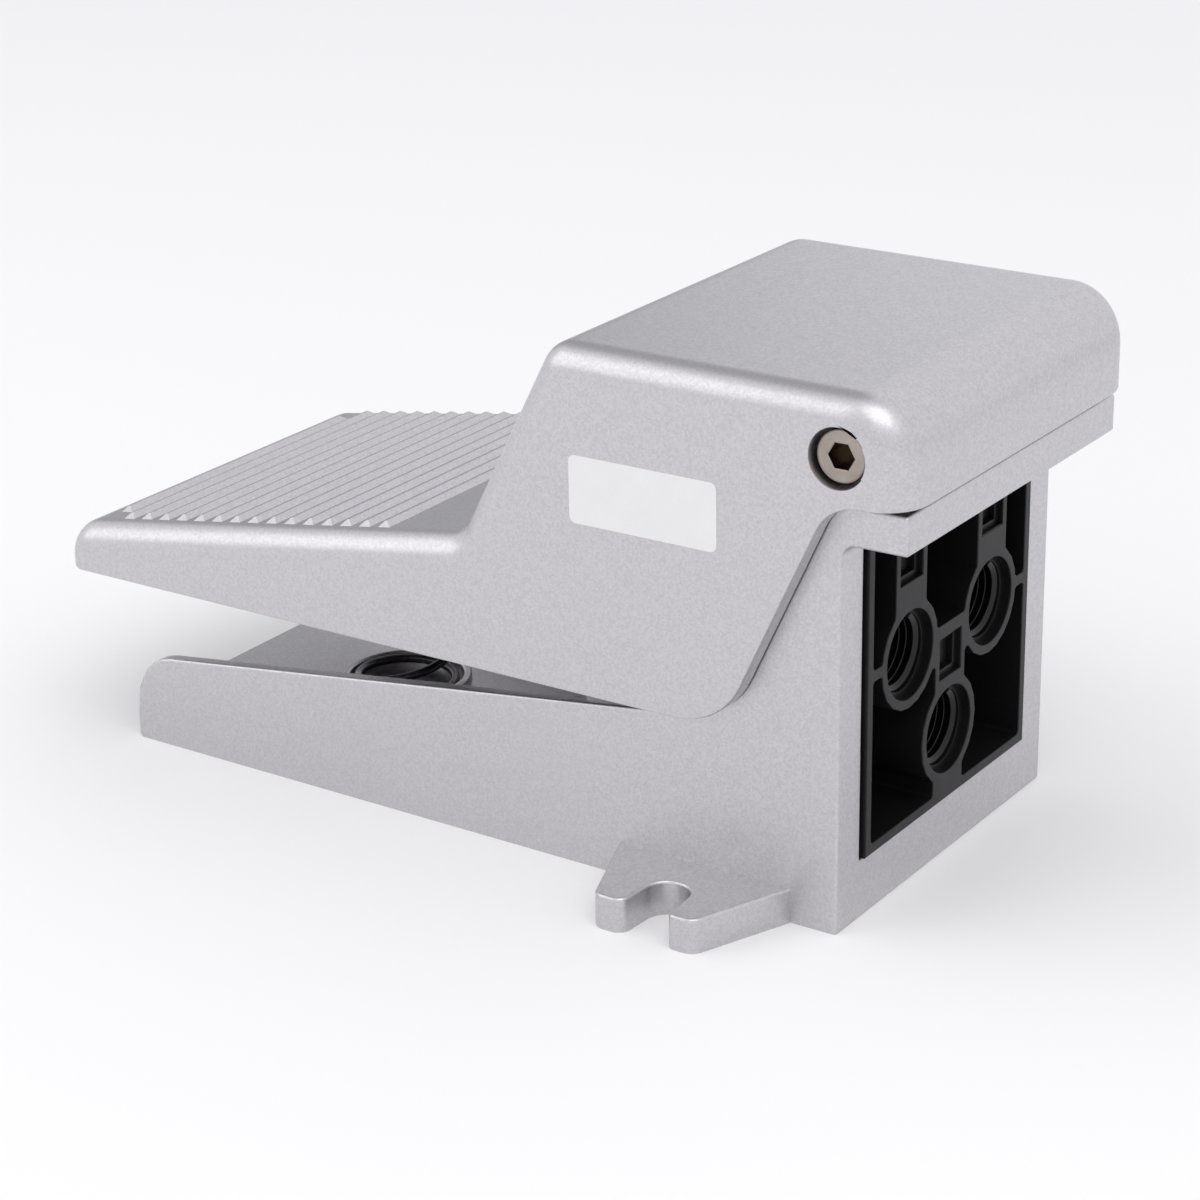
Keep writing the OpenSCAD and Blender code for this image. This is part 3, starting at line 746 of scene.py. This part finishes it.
LABEL = Finish(
    "label_film", Pattern.MOULDED, dark=(0.7, 0.695, 0.69), light=(0.78, 0.775, 0.77),
    metallic=0.0, roughness=(0.4, 0.5), grain=1500.0, relief=0.004, shine=0.3)


def dress(piece: Piece, finish: Finish, body: str | None, *nodes: str, slot: bool = True) -> Piece:
    """Gives a piece its finish and its body, and hides the solids that it stands for.

    Args:
        piece: The finished piece.
        finish: Its finish.
        body: The body that it moves with, or None to leave it unattached here.
        nodes: The solids that it replaces.
        slot: Whether the record has the finish's slot; not used.

    Returns:
        The piece.
    """
    piece.data.materials.clear()
    piece.data.materials.append(finish.material())
    if body is not None:
        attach(piece, body)
    if nodes:
        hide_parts(*nodes)
    log.info("%s: %d faces, on %s", piece.name, len(piece.data.polygons), body)
    return piece


@dataclass(frozen=True)
class Round:
    """A round boss or bore, with the place on its axis where it starts."""

    radius: float
    start: float
    length: float


@dataclass
class PedalCover:
    """The die-cast pedal: tread, hood and cheeks in one hollow shell."""

    half: float = 39.8
    skin: float = 3.4
    toe: Point = (-134.2, 41.4)
    low: float = 32.9
    heel_y: float = 5.3
    throat: Point = (24.83, 74.4)
    rear_y: float = 38.0
    top: float = 92.0
    brow_y: float = -27.3
    foot: Point = (-46.3, 55.64)
    cheek_y: float = -5.0
    toe_r: float = 6.5
    foot_r: float = 4.0
    brow_r: float = 6.0
    back_r: float = 10.0
    heel_r: float = 14.0
    throat_r: float = 8.0
    edge_r: float = 4.5
    toe_edge_r: float = 3.2
    corner_r: float = 8.0
    inner_edge_r: float = 1.2
    rim_r: float = 0.6
    edge_steps: int = 8
    inner_edge_steps: int = 4
    tread_slope: float = 9.2
    ridges: int = 15
    ridge_pitch: float = 4.15
    ridge_start: float = 12.0
    ridge_w: float = 3.2
    ridge_h: float = 0.92
    ridge_sink: float = 0.3
    ridge_border: float = 3.9
    hip_ratio: float = 1.6
    crest_w: float = 0.3
    crest_r: float = 0.1
    pivot: Point = (26.2, 82.1)
    spring_y: float = -88.2
    stud_y: float = -6.0
    pivot_boss: Round = Round(7.0, 28.4, 9.0)
    spring_seat: Round = Round(11.9, 41.45, 12.0)
    spigot: Round = Round(7.2, 37.45, 5.0)
    spigot_edge_r: float = 0.8
    stud_boss: Round = Round(7.0, 81.0, 8.6)
    head_bore: Round = Round(4.9, 33.3, 8.0)
    head_sides: int = 96
    bush_bore: Round = Round(4.07, 26.0, 9.0)
    stud_bore: Round = Round(4.02, 77.0, 10.6)
    mouth_r: float = 0.35
    mouth_play: float = 0.3
    mouth_depth: float = 0.05

    def tread_z(self, y: float) -> float:
        """Gives the height of the tread's floor at a place along the pedal."""
        return self.toe[1] + (y - self.toe[0]) * math.tan(math.radians(self.tread_slope))

    def upper(self, one: Vector, two: Vector) -> bool:
        """Says whether an edge of the side belongs to the upper line and not to the lower rim.

        Args:
            one: One end of the edge.
            two: Its other end.

        Returns:
            Whether it is on the upper line.
        """
        middle = (one + two) / 2
        if middle.z < self.low + NEAR:
            return False
        below = middle.y > self.cheek_y and middle.z < self.throat[1] + NEAR
        return middle.y > self.rear_y - NEAR or not below

    def on_rim(self, one: Vector, two: Vector) -> bool:
        """Says whether an edge lies on the lower rim of the shell.

        Args:
            one: One end of the edge.
            two: Its other end.

        Returns:
            Whether it is on the rim.
        """
        middle = (one + two) / 2
        if middle.z < self.low + NEAR:
            return True
        if middle.y < self.cheek_y or middle.z > self.throat[1] + NEAR:
            return False
        return max(one.z, two.z) < self.throat[1] + NEAR

    def edge_radius(self, one: Vector, two: Vector) -> float:
        """Gives the rounding of an outer edge, which grows over the hood's rear and shrinks over the toe.

        Args:
            one: One end of the edge.
            two: Its other end.

        Returns:
            The radius, or 0 where the edge stays sharp.
        """
        on_side = abs(abs(one.x) - self.half) < NEAR and abs(one.x - two.x) < NEAR
        if not on_side or not self.upper(one, two):
            return 0.0
        middle = (one + two) / 2
        grown = (self.corner_r - self.edge_r) * self.round_the_back(middle)
        shrunk = (self.edge_r - self.toe_edge_r) * self.round_the_toe(middle)
        return self.edge_r + grown - shrunk

    def inner_edge_radius(self, one: Vector, two: Vector) -> float:
        """Gives the rounding of the hollow's upper side edges, which grows round the rear.

        Args:
            one: One end of the edge.
            two: Its other end.

        Returns:
            The radius, or 0 where the edge stays sharp.
        """
        if abs(one.x - two.x) > NEAR or max(one.z, two.z) < NEAR:
            return 0.0
        widest = self.corner_r - self.skin
        return self.inner_edge_r + (widest - self.inner_edge_r) * self.round_the_back((one + two) / 2)

    def round_the_back(self, middle: Vector) -> float:
        """Gives how far a point has come round the hood's rear arc.

        Args:
            middle: The point.

        Returns:
            A share from 0 on the hood's top to 1 on its back.
        """
        past_y = middle.y - self.rear_y + self.back_r
        past_z = max(middle.z - self.top + self.back_r, 0.0)
        return math.atan2(past_y, past_z) / (math.pi / 2) if past_y > 0 else 0.0

    def round_the_toe(self, middle: Vector) -> float:
        """Gives how far a point has come round the toe's arc.

        Args:
            middle: The point.

        Returns:
            A share from 0 on the tread to 1 in front.
        """
        rest = math.radians(90 - self.tread_slope)
        centre_y = self.toe[0] + self.toe_r
        centre_z = self.toe[1] - self.toe_r * math.tan(rest / 2)
        turn = math.atan2(middle.z - centre_z, centre_y - middle.y)
        return min(max(1 - turn / rest, 0.0), 1.0) if middle.y < centre_y else 0.0

    def outer(self) -> Piece:
        """Builds the solid outer form with its rounded edges.

        Returns:
            The form.
        """
        outline = rounded([
            (self.toe[0], self.low, 0), (self.heel_y, self.low, self.heel_r), (*self.throat, self.throat_r),
            (self.rear_y, self.throat[1], 0), (self.rear_y, self.top, self.back_r),
            (self.brow_y, self.top, self.brow_r), (*self.foot, self.foot_r), (*self.toe, self.toe_r)])
        piece = prism("pedal_cover_shell", outline, lambda y, z: (-self.half, y, z), (2 * self.half, 0, 0))
        round_edges(piece, self.edge_radius, self.edge_steps)
        soften(piece, self.on_rim, self.rim_r)
        return piece

    def hollow(self) -> Piece:
        """Builds the room inside the shell.

        Returns:
            The shape that is cut from the outer form.
        """
        slope = math.radians(self.tread_slope)
        hood = math.atan2(self.top - self.foot[1], self.brow_y - self.foot[0])
        drop, back = self.skin / math.cos(slope), self.skin / math.sin(hood)
        foot_y = self.foot[0] + (back * math.tan(hood) - drop) / (math.tan(hood) - math.tan(slope))
        foot_z = self.foot[1] + (foot_y - self.foot[0]) * math.tan(slope) - drop
        toe_y, top, rear = self.toe[0] + self.skin, self.top - self.skin, self.rear_y - self.skin
        toe_z = self.toe[1] + self.skin * math.tan(slope) - drop
        outline = rounded([
            (toe_y, 0, 0), (rear, 0, 0), (rear, top, self.back_r - self.skin),
            (foot_y + (top - foot_z) / math.tan(hood), top, self.brow_r - self.skin),
            (foot_y, foot_z, self.foot_r + self.skin), (toe_y, toe_z, self.toe_r - self.skin)])
        wide = self.half - self.skin
        piece = prism("pedal_hollow", outline, lambda y, z: (-wide, y, z), (2 * wide, 0, 0))
        round_edges(piece, self.inner_edge_radius, self.inner_edge_steps)
        return piece

    def ridge(self, name: str, half: float) -> Piece:
        """Models one ridge of the tread at the origin, with sloping ends and a rounded crest.

        Args:
            name: The ridge's name.
            half: Half its length.

        Returns:
            The ridge.
        """
        clear()
        bpy.ops.mesh.primitive_cube_add(
            size=1, scale=(2 * half * MM, self.ridge_w * MM, (self.ridge_h + self.ridge_sink) * MM),
            location=(0, 0, (self.ridge_h - self.ridge_sink) / 2 * MM))
        piece = named(name)
        pick_above(piece, 0.0)
        hip = self.hip_ratio * self.ridge_h
        with editing(piece, Pick.FACE, everything=False):
            bpy.ops.transform.resize(value=((half - hip) / half, self.crest_w / self.ridge_w, 1))
            bpy.ops.mesh.bevel(offset=self.crest_r * MM, offset_type="OFFSET", segments=2, affect="EDGES")
        return piece

    def set_on(self, piece: Piece, row: int) -> Piece:
        """Turns a ridge to the tread's slope and moves it to its row.

        Args:
            piece: The ridge.
            row: The row's number, counted from the toe.

        Returns:
            The ridge.
        """
        y = self.toe[0] + self.ridge_start + row * self.ridge_pitch
        piece.rotation_euler.x = math.radians(self.tread_slope)
        piece.location = (0, y * MM, self.tread_z(y) * MM)
        settle(piece)
        return piece

    def tread(self) -> Piece:
        """Builds the tread's ridges: one is modelled, and the others are copies.

        Returns:
            The ridges as one piece.
        """
        long = self.half - self.ridge_border
        pattern = self.ridge("tread_ridge", long)
        short = self.set_on(self.ridge("tread_ridge_short", long - self.ridge_border), -1)
        rows = [self.set_on(copied(pattern, f"tread_ridge_{i}"), i) for i in range(self.ridges)]
        bpy.data.objects.remove(pattern)
        return joined("tread_ridges", [short, *rows])

    def both_sides(self, name: str, size: Round, sides: int = 64) -> list[Piece]:
        """Builds a bar on the pivot's line at each side.

        Args:
            name: The bars' common name.
            size: Their size, which starts at a distance from the middle plane.
            sides: Faces round a bar.

        Returns:
            The right bar and the left one.
        """
        starts = {"right": size.start, "left": -size.start - size.length}
        return [bar(f"{name}_{side}", Axis.X, size.radius, (x, *self.pivot), size.length, sides)
                for side, x in starts.items()]

    def upright(self, name: str, size: Round, y: float) -> Piece:
        """Builds an upright bar on the middle plane."""
        return bar(name, Axis.Z, size.radius, (0, y, size.start), size.length)

    def fittings(self) -> list[Piece]:
        """Builds the bosses under the hood and the seat of the spring.

        Returns:
            The pieces that are added to the shell.
        """
        slope = math.radians(self.tread_slope)
        level = self.tread_z(self.spring_y) - self.skin / 2
        seat = self.upright("spring_seat", self.spring_seat, self.spring_y)
        with editing(seat):
            bpy.ops.mesh.bisect(
                plane_co=Vector((0, self.spring_y, level)) * MM,
                plane_no=(0, -math.sin(slope), math.cos(slope)), use_fill=True, clear_outer=True)
        spigot = self.upright("spring_spigot", self.spigot, self.spring_y)
        soften(spigot, lambda one, two: max(one.z, two.z) < self.spigot.start + NEAR, self.spigot_edge_r)
        stud_boss = self.upright("pusher_boss", self.stud_boss, self.stud_y)
        return [*self.both_sides("pivot_boss", self.pivot_boss), seat, spigot, stud_boss]

    def bores(self) -> list[Piece]:
        """Builds the bores for the pivot screws, the bushes and the stud.

        Returns:
            The shapes that are cut from the shell.
        """
        heads = self.both_sides("head_bore", self.head_bore, self.head_sides)
        bushes = self.both_sides("bush_bore", self.bush_bore)
        return [*heads, *bushes, self.upright("stud_bore", self.stud_bore, self.stud_y)]

    def on_mouth(self, one: Vector, two: Vector) -> bool:
        """Says whether an edge is on the mouth of a screw's bore.

        Args:
            one: One end of the edge.
            two: Its other end.

        Returns:
            Whether it is on a mouth.
        """
        y, z = self.pivot
        reach = self.head_bore.radius + self.mouth_play
        near = all(math.hypot(p.y - y, p.z - z) < reach for p in (one, two))
        return near and min(abs(one.x), abs(two.x)) > self.half - self.mouth_depth

    def build(self) -> Piece:
        """Builds and dresses the pedal.

        Returns:
            The pedal.
        """
        piece = self.outer()
        combine(piece, self.tread(), Join.ADD)
        combine(piece, self.hollow(), Join.CUT)
        for part in self.fittings():
            combine(piece, part, Join.ADD)
        for tool in self.bores():
            combine(piece, tool, Join.CUT)
        soften(piece, self.on_mouth, self.mouth_r)
        smooth(piece)
        return dress(piece, CAST, "pedal", "pedal_cover")


@dataclass
class BlankLabel:
    """The blank white label on the right cheek."""

    face_x: float = 39.8
    low: Point = (-22.75, 62.9)
    high: Point = (5.0, 74.4)
    corner: float = 1.2
    thick: float = 0.12
    sink: float = 0.04
    edge_r: float = 0.05
    arc_step: float = 15.0

    def build(self) -> Piece:
        """Builds and dresses the label.

        Returns:
            The label.
        """
        (y0, z0), (y1, z1) = self.low, self.high
        corners = [(y, z, self.corner) for y, z in ((y0, z0), (y1, z0), (y1, z1), (y0, z1))]
        piece = prism("side_label", rounded(corners, self.arc_step),
                      lambda y, z: (self.face_x - self.sink, y, z), (self.thick + self.sink, 0, 0))
        soften(piece, lambda one, two: min(one.x, two.x) > self.face_x + self.sink, self.edge_r)
        smooth(piece)
        return dress(piece, LABEL, "pedal", slot=False)


@dataclass
class BaseHousing:
    """The die-cast base: tray, tower, visor, fixing tabs and ears."""

    edge_r: float = 0.54
    edge_steps: int = 3
    sharper: float = 40.0
    above: float = 0.1
    nose: Place = (33.9, -122.9, 10.4)

    def on_nose(self, one: Vector, two: Vector) -> bool:
        """Says whether an edge is on the front corner of a fin, which the solid rounds already."""
        x, y, z = self.nose
        return abs(one.x + two.x) > 2 * x and max(one.y, two.y) < y and min(one.z, two.z) < z

    def rounded_edge(self, one: Vector, two: Vector) -> bool:
        """Says whether an edge gets the casting's small radius."""
        return max(one.z, two.z) > self.above and not self.on_nose(one, two)

    def build(self) -> Piece:
        """Builds and dresses the base.

        Returns:
            The base.
        """
        piece = cad_copy("base_housing", "base_casting")
        soften(piece, self.rounded_edge, self.edge_r, self.edge_steps, self.sharper)
        smooth(piece)
        return dress(piece, CAST, "base", "base_housing")


@dataclass
class ValveBody:
    """The black moulding behind the rear window, with its three threaded ports."""

    rear_y: float = 25.6
    ports: tuple[Point, ...] = ((13.9, 41.2), (-13.9, 41.2), (0.0, 23.0))
    crest_r: float = 5.72
    root_r: float = 6.58
    pitch: float = 1.337
    mouth_y: float = 24.0
    turns: int = 7
    thread_steps: int = 48
    thread_inset: float = 0.5
    root_sink: float = 0.08
    root_share: float = 0.47
    crest_half: float = 0.05
    crest_fall: Point = (0.1, 0.14)
    bore_past: Point = (0.9, 0.1)
    edge_r: float = 0.25
    edge_depth: float = 0.2
    pads: tuple[Point, ...] = ((13.9, 57.6), (-13.9, 57.6), (0.0, 36.5))
    pad_floor: Point = (5.2, 2.2)

    def pad(self, name: str, x: float, z: float) -> Piece:
        """Builds the block that sinks the middle of a bare pad.

        Args:
            name: The block's name.
            x: The pad's place across.
            z: The pad's height.

        Returns:
            The block.
        """
        width, depth = self.pad_floor
        clear()
        bpy.ops.mesh.primitive_cube_add(size=1, scale=Vector((width, 2 * depth, width)) * MM,
                                        location=Vector((x, self.rear_y, z)) * MM)
        return named(name)

    def thread(self, name: str, x: float, z: float) -> Piece:
        """Builds the thread of one port as a helical rib.

        Args:
            name: The piece's name.
            x: The port's place across.
            z: The port's height.

        Returns:
            The thread.
        """
        wide = self.pitch * self.root_share
        start = self.mouth_y - self.turns * self.pitch - self.thread_inset
        root = self.root_r + self.root_sink
        fall, shoulder = self.crest_fall
        section = [(root, -wide), (self.crest_r + fall, -shoulder), (self.crest_r, -self.crest_half),
                   (self.crest_r, self.crest_half), (self.crest_r + fall, shoulder), (root, wide)]
        piece = drawn(name, section, lambda r, y: (r, start + y, 0))
        with editing(piece):
            bpy.ops.mesh.edge_face_add()
            bpy.ops.mesh.delete(type="ONLY_FACE")
        sweep(piece, Axis.Y, 1, self.pitch, self.thread_steps, self.turns)
        close_ends(piece)
        piece.location = (x * MM, 0, z * MM)
        settle(piece)
        return piece

    def build(self) -> list[Piece]:
        """Builds and dresses the moulding and its threads.

        Returns:
            The moulding and the threads.
        """
        piece = cad_copy("valve_body", "valve_moulding")
        inside, outside = self.bore_past
        length = self.turns * self.pitch + inside
        for i, (x, z) in enumerate(self.ports):
            low = (x, self.mouth_y - length, z)
            combine(piece, bar(f"port_bore_{i}", Axis.Y, self.root_r, low, length + outside), Join.CUT)
        for i, (x, z) in enumerate(self.pads):
            combine(piece, self.pad(f"pad_block_{i}", x, z), Join.CUT)
        soften(piece, lambda one, two: min(one.y, two.y) > self.mouth_y - self.edge_depth, self.edge_r)
        smooth(piece)
        ribs = [self.thread(f"port_thread_{i}", x, z) for i, (x, z) in enumerate(self.ports)]
        threads = joined("port_threads", ribs)
        smooth(threads, ROUND_SHADE)
        # The threads take the darker copy of the plastic, as painted shade inside the ports
        return [dress(piece, PLASTIC, "base", "valve_body"), dress(threads, THREAD_GLOSS_AND_SHADE, "base")]


@dataclass
class PivotScrews:
    """The two shoulder screws that the pedal turns on."""

    y: float = 26.2
    z: float = 82.1
    face_x: float = 38.5
    head_r: float = 4.35
    head_h: float = 5.0
    shoulder_r: float = 3.0
    shoulder_x: float = 28.1
    thread_r: float = 2.5
    end_x: float = 18.6
    socket: float = 4.0
    socket_depth: float = 4.2
    socket_edge_r: float = 0.18
    socket_play: float = 0.1
    key_past: float = 2.0
    head_edge_r: float = 0.5
    arc_steps: int = 6
    end_slant: float = 0.5
    small_slant: float = 0.2

    def profile(self) -> list[Point]:
        """Draws half the outline of a screw, from its end to its head.

        Returns:
            Points as (distance from the axis, place along it).
        """
        under, slant, edge = self.face_x - self.head_h, self.small_slant, self.head_edge_r
        points = [
            (0, self.end_x), (self.thread_r - self.end_slant, self.end_x),
            (self.thread_r, self.end_x + self.end_slant), (self.thread_r, self.shoulder_x),
            (self.shoulder_r - slant, self.shoulder_x), (self.shoulder_r, self.shoulder_x + slant),
            (self.shoulder_r, under), (self.head_r - slant, under), (self.head_r, under + slant)]
        for k in range(self.arc_steps + 1):
            angle = math.pi / 2 * k / self.arc_steps
            points.append((self.head_r - edge + edge * math.cos(angle),
                           self.face_x - edge + edge * math.sin(angle)))
        return [*points, (0, self.face_x)]

    def key_r(self) -> float:
        """Gives the distance from the socket's axis to its corners."""
        return self.socket / math.sqrt(3)

    def off_axis(self, point: Vector) -> float:
        """Gives a point's distance from the pivot's line."""
        return math.hypot(point.y - self.y, point.z - self.z)

    def on_socket_mouth(self, one: Vector, two: Vector) -> bool:
        """Says whether an edge is on the mouth of the socket."""
        inside = all(self.off_axis(p) < self.key_r() + self.socket_play for p in (one, two))
        return inside and min(one.x, two.x) > self.face_x - NEAR

    def in_socket(self, point: Vector) -> bool:
        """Says whether a point is inside a socket, below its slanted mouth.

        Args:
            point: The point.

        Returns:
            Whether it is inside.
        """
        floor = self.face_x - self.socket_depth - self.socket_play
        deep = floor < abs(point.x) < self.face_x - self.socket_edge_r - NEAR
        return deep and self.off_axis(point) < self.key_r()

    def build(self) -> Piece:
        """Builds and dresses both screws.

        Returns:
            The screws as one piece.
        """
        screw = turned("pivot_screw_right", self.profile(), lambda r, x: (x, self.y + r, self.z),
                       (0, self.y, self.z), (1, 0, 0))
        key = bar("hex_key", Axis.X, self.key_r(), (self.face_x - self.socket_depth, self.y, self.z),
                  self.socket_depth + self.key_past, sides=6)
        combine(screw, key, Join.CUT)
        soften(screw, self.on_socket_mouth, self.socket_edge_r, 1)
        both = joined("pivot_screw_pair", [screw, mirrored(screw, "pivot_screw_left")])
        smooth(both)
        dress(both, STEEL, "base", "pivot_screws")
        # The faces inside the socket take the darker copy of the steel, as painted shade of the socket
        both.data.materials.append(PAINTED_SOCKET_SHADE.material())
        for face in both.data.polygons:
            face.material_index = int(self.in_socket(face.center / MM))
        return both


@dataclass
class CoilSpring:
    """A coil of round wire with close end turns."""

    name: str
    node: str
    centre: Point
    radius: float
    wire: float
    low: float
    high: float
    turns: float
    start: float
    steps: int = 48
    sides: int = 14
    close_rise: float = 2.3
    weld: float = 0.005

    def stretch(self, index: int, turns: float, done: float, rise: float, z: float) -> Piece:
        """Sweeps one stretch of the coil.

        Args:
            index: The stretch's number, for its name.
            turns: Its turns.
            done: Turns below it.
            rise: How far it climbs.
            z: The height of its start.

        Returns:
            The stretch, open at both ends.
        """
        clear()
        bpy.ops.mesh.primitive_circle_add(
            vertices=self.sides, radius=self.wire * MM,
            location=(self.radius * MM, 0, z * MM), rotation=Axis.Y.value)
        piece = named(f"{self.name}_{index}")
        piece.rotation_euler.z = math.radians(self.start + 360 * done)
        settle(piece)
        sweep(piece, Axis.Z, turns, rise, round(self.steps * turns))
        return piece

    def build(self) -> Piece:
        """Builds and dresses the spring.

        Returns:
            The spring.
        """
        close = self.close_rise * self.wire
        rise = self.high - self.low - 2 * self.wire - 2 * close
        first = self.low + self.wire
        piece = joined(self.name, [
            self.stretch(0, 1, 0, close, first),
            self.stretch(1, self.turns - 2, 1, rise, first + close),
            self.stretch(2, 1, self.turns - 1, close, first + close + rise)])
        with editing(piece):
            bpy.ops.mesh.remove_doubles(threshold=self.weld * MM)
        close_ends(piece)
        piece.location = self.at(0)
        settle(piece)
        smooth(piece, ROUND_SHADE)
        return dress(piece, WIRE, None, self.node)

    def at(self, z: float) -> Vector:
        """Gives the point on the coil's axis at a height."""
        return Vector((self.centre[0], self.centre[1], z)) * MM

    def lean(self, piece: Piece) -> None:
        """Moves the coil's place and turn into its mesh."""
        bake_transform(piece)

    def shorten(self, piece: Piece) -> None:
        """Attaches the coil to the base and gives it a mesh of its own."""
        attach(piece, "base")
        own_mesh(piece)


@dataclass
class InnerParts:
    """The solids inside the valve and under the hood, which keep their own meshes."""

    finishes: dict[str, Finish] = field(default_factory=lambda: {
        "body_screws": STEEL, "spool_liner": TURNED_ALLOY, "liner_seals": RUBBER,
        "top_gland": TURNED_ALLOY, "rod_wiper": RUBBER, "end_cap": TURNED_ALLOY,
        "end_cap_seal": RUBBER, "end_cap_clip": WIRE, "gallery_plugs": BRASS,
        "pivot_nuts": STEEL, "pivot_bushes": BRASS, "push_stud": STEEL,
        "spool": TURNED_ALLOY, "spool_seals": RUBBER, "plunger_button": STEEL})

    def build(self) -> None:
        """Gives each solid its finish."""
        for node, finish in self.finishes.items():
            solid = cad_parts[node]
            solid.data.materials.clear()
            solid.data.materials.append(finish.material())
            log.info("%s: keeps its solid", node)


@dataclass
class Studio:
    """A pale floor, soft light and the camera of the photograph.

    The camera is placed in millimetres, the floor and the lamps in metres.
    """

    camera_at: Place = (432.59, 250.23, 236.69)
    looks_along: Place = (-0.769704, -0.523948, -0.364738)
    roll: float = -1.0074
    lens: float = 95.178
    sensor: float = 36.0
    clip: tuple[float, float] = (0.01, 100.0)
    floor_size: float = 24.0
    floor_tone: float = 0.9
    floor_rough: float = 0.9
    floor_shine: float = 0.1
    sky: float = 0.97
    sky_tint: Colour = (0.985, 0.985, 1.02)
    gap_turn: float = 228.0
    gap_tone: float = 0.48
    gap_half: tuple[float, float] = (0.15, 0.33)
    gap_fade: tuple[float, float] = (0.3, 0.05)
    lamp_aim: Place = (0.0, -0.045, 0.05)
    lamp_reach: float = 1.1
    key_along: Place = (0.52, -0.62, 0.56)
    key_size: float = 0.9
    key_power: float = 1.9
    fill_along: Place = (0.36, 0.42, 0.765)
    fill_size: float = 0.8
    fill_power: float = 2.4

    def camera(self) -> None:
        """Sets up the camera."""
        data = bpy.data.cameras.new("photo_camera")
        data.lens = self.lens
        data.sensor_width = self.sensor
        data.clip_start, data.clip_end = self.clip
        camera = bpy.data.objects.new("photo_camera", data)
        bpy.context.scene.collection.objects.link(camera)
        aim = Vector(self.looks_along).to_track_quat("-Z", "Y")
        camera.rotation_mode = "QUATERNION"
        camera.rotation_quaternion = aim @ Quaternion((0, 0, 1), math.radians(self.roll))
        camera.location = Vector(self.camera_at) * MM
        bpy.context.scene.camera = camera

    def floor(self) -> None:
        """Lays the floor."""
        clear()
        bpy.ops.mesh.primitive_plane_add(size=self.floor_size, location=(0, 0, 0))
        floor = named("studio_floor")
        made = bpy.data.materials.new("floor_paper")
        made.use_nodes = True
        shader = made.node_tree.nodes["Principled BSDF"]
        shader.inputs["Base Color"].default_value = (*(self.floor_tone,) * 3, 1.0)
        shader.inputs["Roughness"].default_value = self.floor_rough
        shader.inputs["Specular IOR Level"].default_value = self.floor_shine
        floor.data.materials.append(made)

    def world(self) -> None:
        """Sets an even sky with one soft dark gap, as between the sheets of a light tent."""
        world = bpy.data.worlds.new("studio_sky")
        bpy.context.scene.world = world
        world.use_nodes = True
        world.node_tree.nodes.clear()
        nodes = Nodes(world.node_tree)
        where = nodes.add("ShaderNodeTexCoord").outputs["Generated"]
        turn = math.radians(self.gap_turn)
        ahead = Vector((math.cos(turn), math.sin(turn), 0))
        beside = Vector((-math.sin(turn), math.cos(turn), 0))
        off = nodes.add("ShaderNodeVectorMath", {0: where, 1: beside}, operation="DOT_PRODUCT")
        facing = nodes.add("ShaderNodeVectorMath", {0: where, 1: ahead}, operation="DOT_PRODUCT")
        core, edge = self.gap_half
        open_side = nodes.add("ShaderNodeMapRange", {
            "Value": nodes.math("ABSOLUTE", off.outputs["Value"]), "From Min": core, "From Max": edge},
            interpolation_type="SMOOTHSTEP").outputs["Result"]
        behind = nodes.add("ShaderNodeMapRange", {
            "Value": facing.outputs["Value"], "From Min": self.gap_fade[0], "From Max": self.gap_fade[1]},
            interpolation_type="SMOOTHSTEP").outputs["Result"]
        level = nodes.add("ShaderNodeMapRange", {
            "Value": nodes.math("MAXIMUM", open_side, behind), "To Min": self.gap_tone,
            "To Max": self.sky}).outputs["Result"]
        sky = nodes.add("ShaderNodeBackground", {"Color": (*self.sky_tint, 1.0), "Strength": level})
        nodes.add("ShaderNodeOutputWorld", {"Surface": sky.outputs["Background"]})

    def softbox(self, name: str, along: Place, size: float, power: float) -> None:
        """Hangs a large soft lamp.

        Args:
            name: The lamp's name.
            along: The direction from the valve to the lamp.
            size: The lamp's width in metres.
            power: The lamp's power in watts.
        """
        data = bpy.data.lights.new(name, "AREA")
        data.shape = "SQUARE"
        data.size = size
        data.energy = power
        lamp = bpy.data.objects.new(name, data)
        bpy.context.scene.collection.objects.link(lamp)
        aim = Vector(self.lamp_aim)
        lamp.location = aim + Vector(along).normalized() * self.lamp_reach
        lamp.rotation_mode = "QUATERNION"
        lamp.rotation_quaternion = (aim - lamp.location).to_track_quat("-Z", "Y")

    def build(self) -> None:
        """Sets up the whole studio."""
        bpy.context.scene.view_settings.view_transform = "Standard"
        self.camera()
        self.floor()
        self.world()
        self.softbox("key_softbox", self.key_along, self.key_size, self.key_power)
        self.softbox("fill_softbox", self.fill_along, self.fill_size, self.fill_power)


def main() -> None:
    """Builds the pieces in order."""
    logging.basicConfig(level=logging.INFO, format="%(name)s %(message)s")
    Studio().build()
    PedalCover().build()
    BlankLabel().build()
    BaseHousing().build()
    ValveBody().build()
    PivotScrews().build()
    pedal_coil = CoilSpring("pedal_coil", "pedal_spring", centre=(0, -88.2), radius=9.05, wire=0.85,
                            low=5.0, high=41.35, turns=4.5, start=-55.0)
    pedal_coil.lean(pedal_coil.build())
    return_coil = CoilSpring("return_coil", "return_spring", centre=(0, -6.0), radius=2.5, wire=0.4,
                             low=14.75, high=38.05, turns=8, start=0.0, steps=32, sides=10)
    return_coil.shorten(return_coil.build())
    InnerParts().build()


if __name__ == "__main__":
    main()
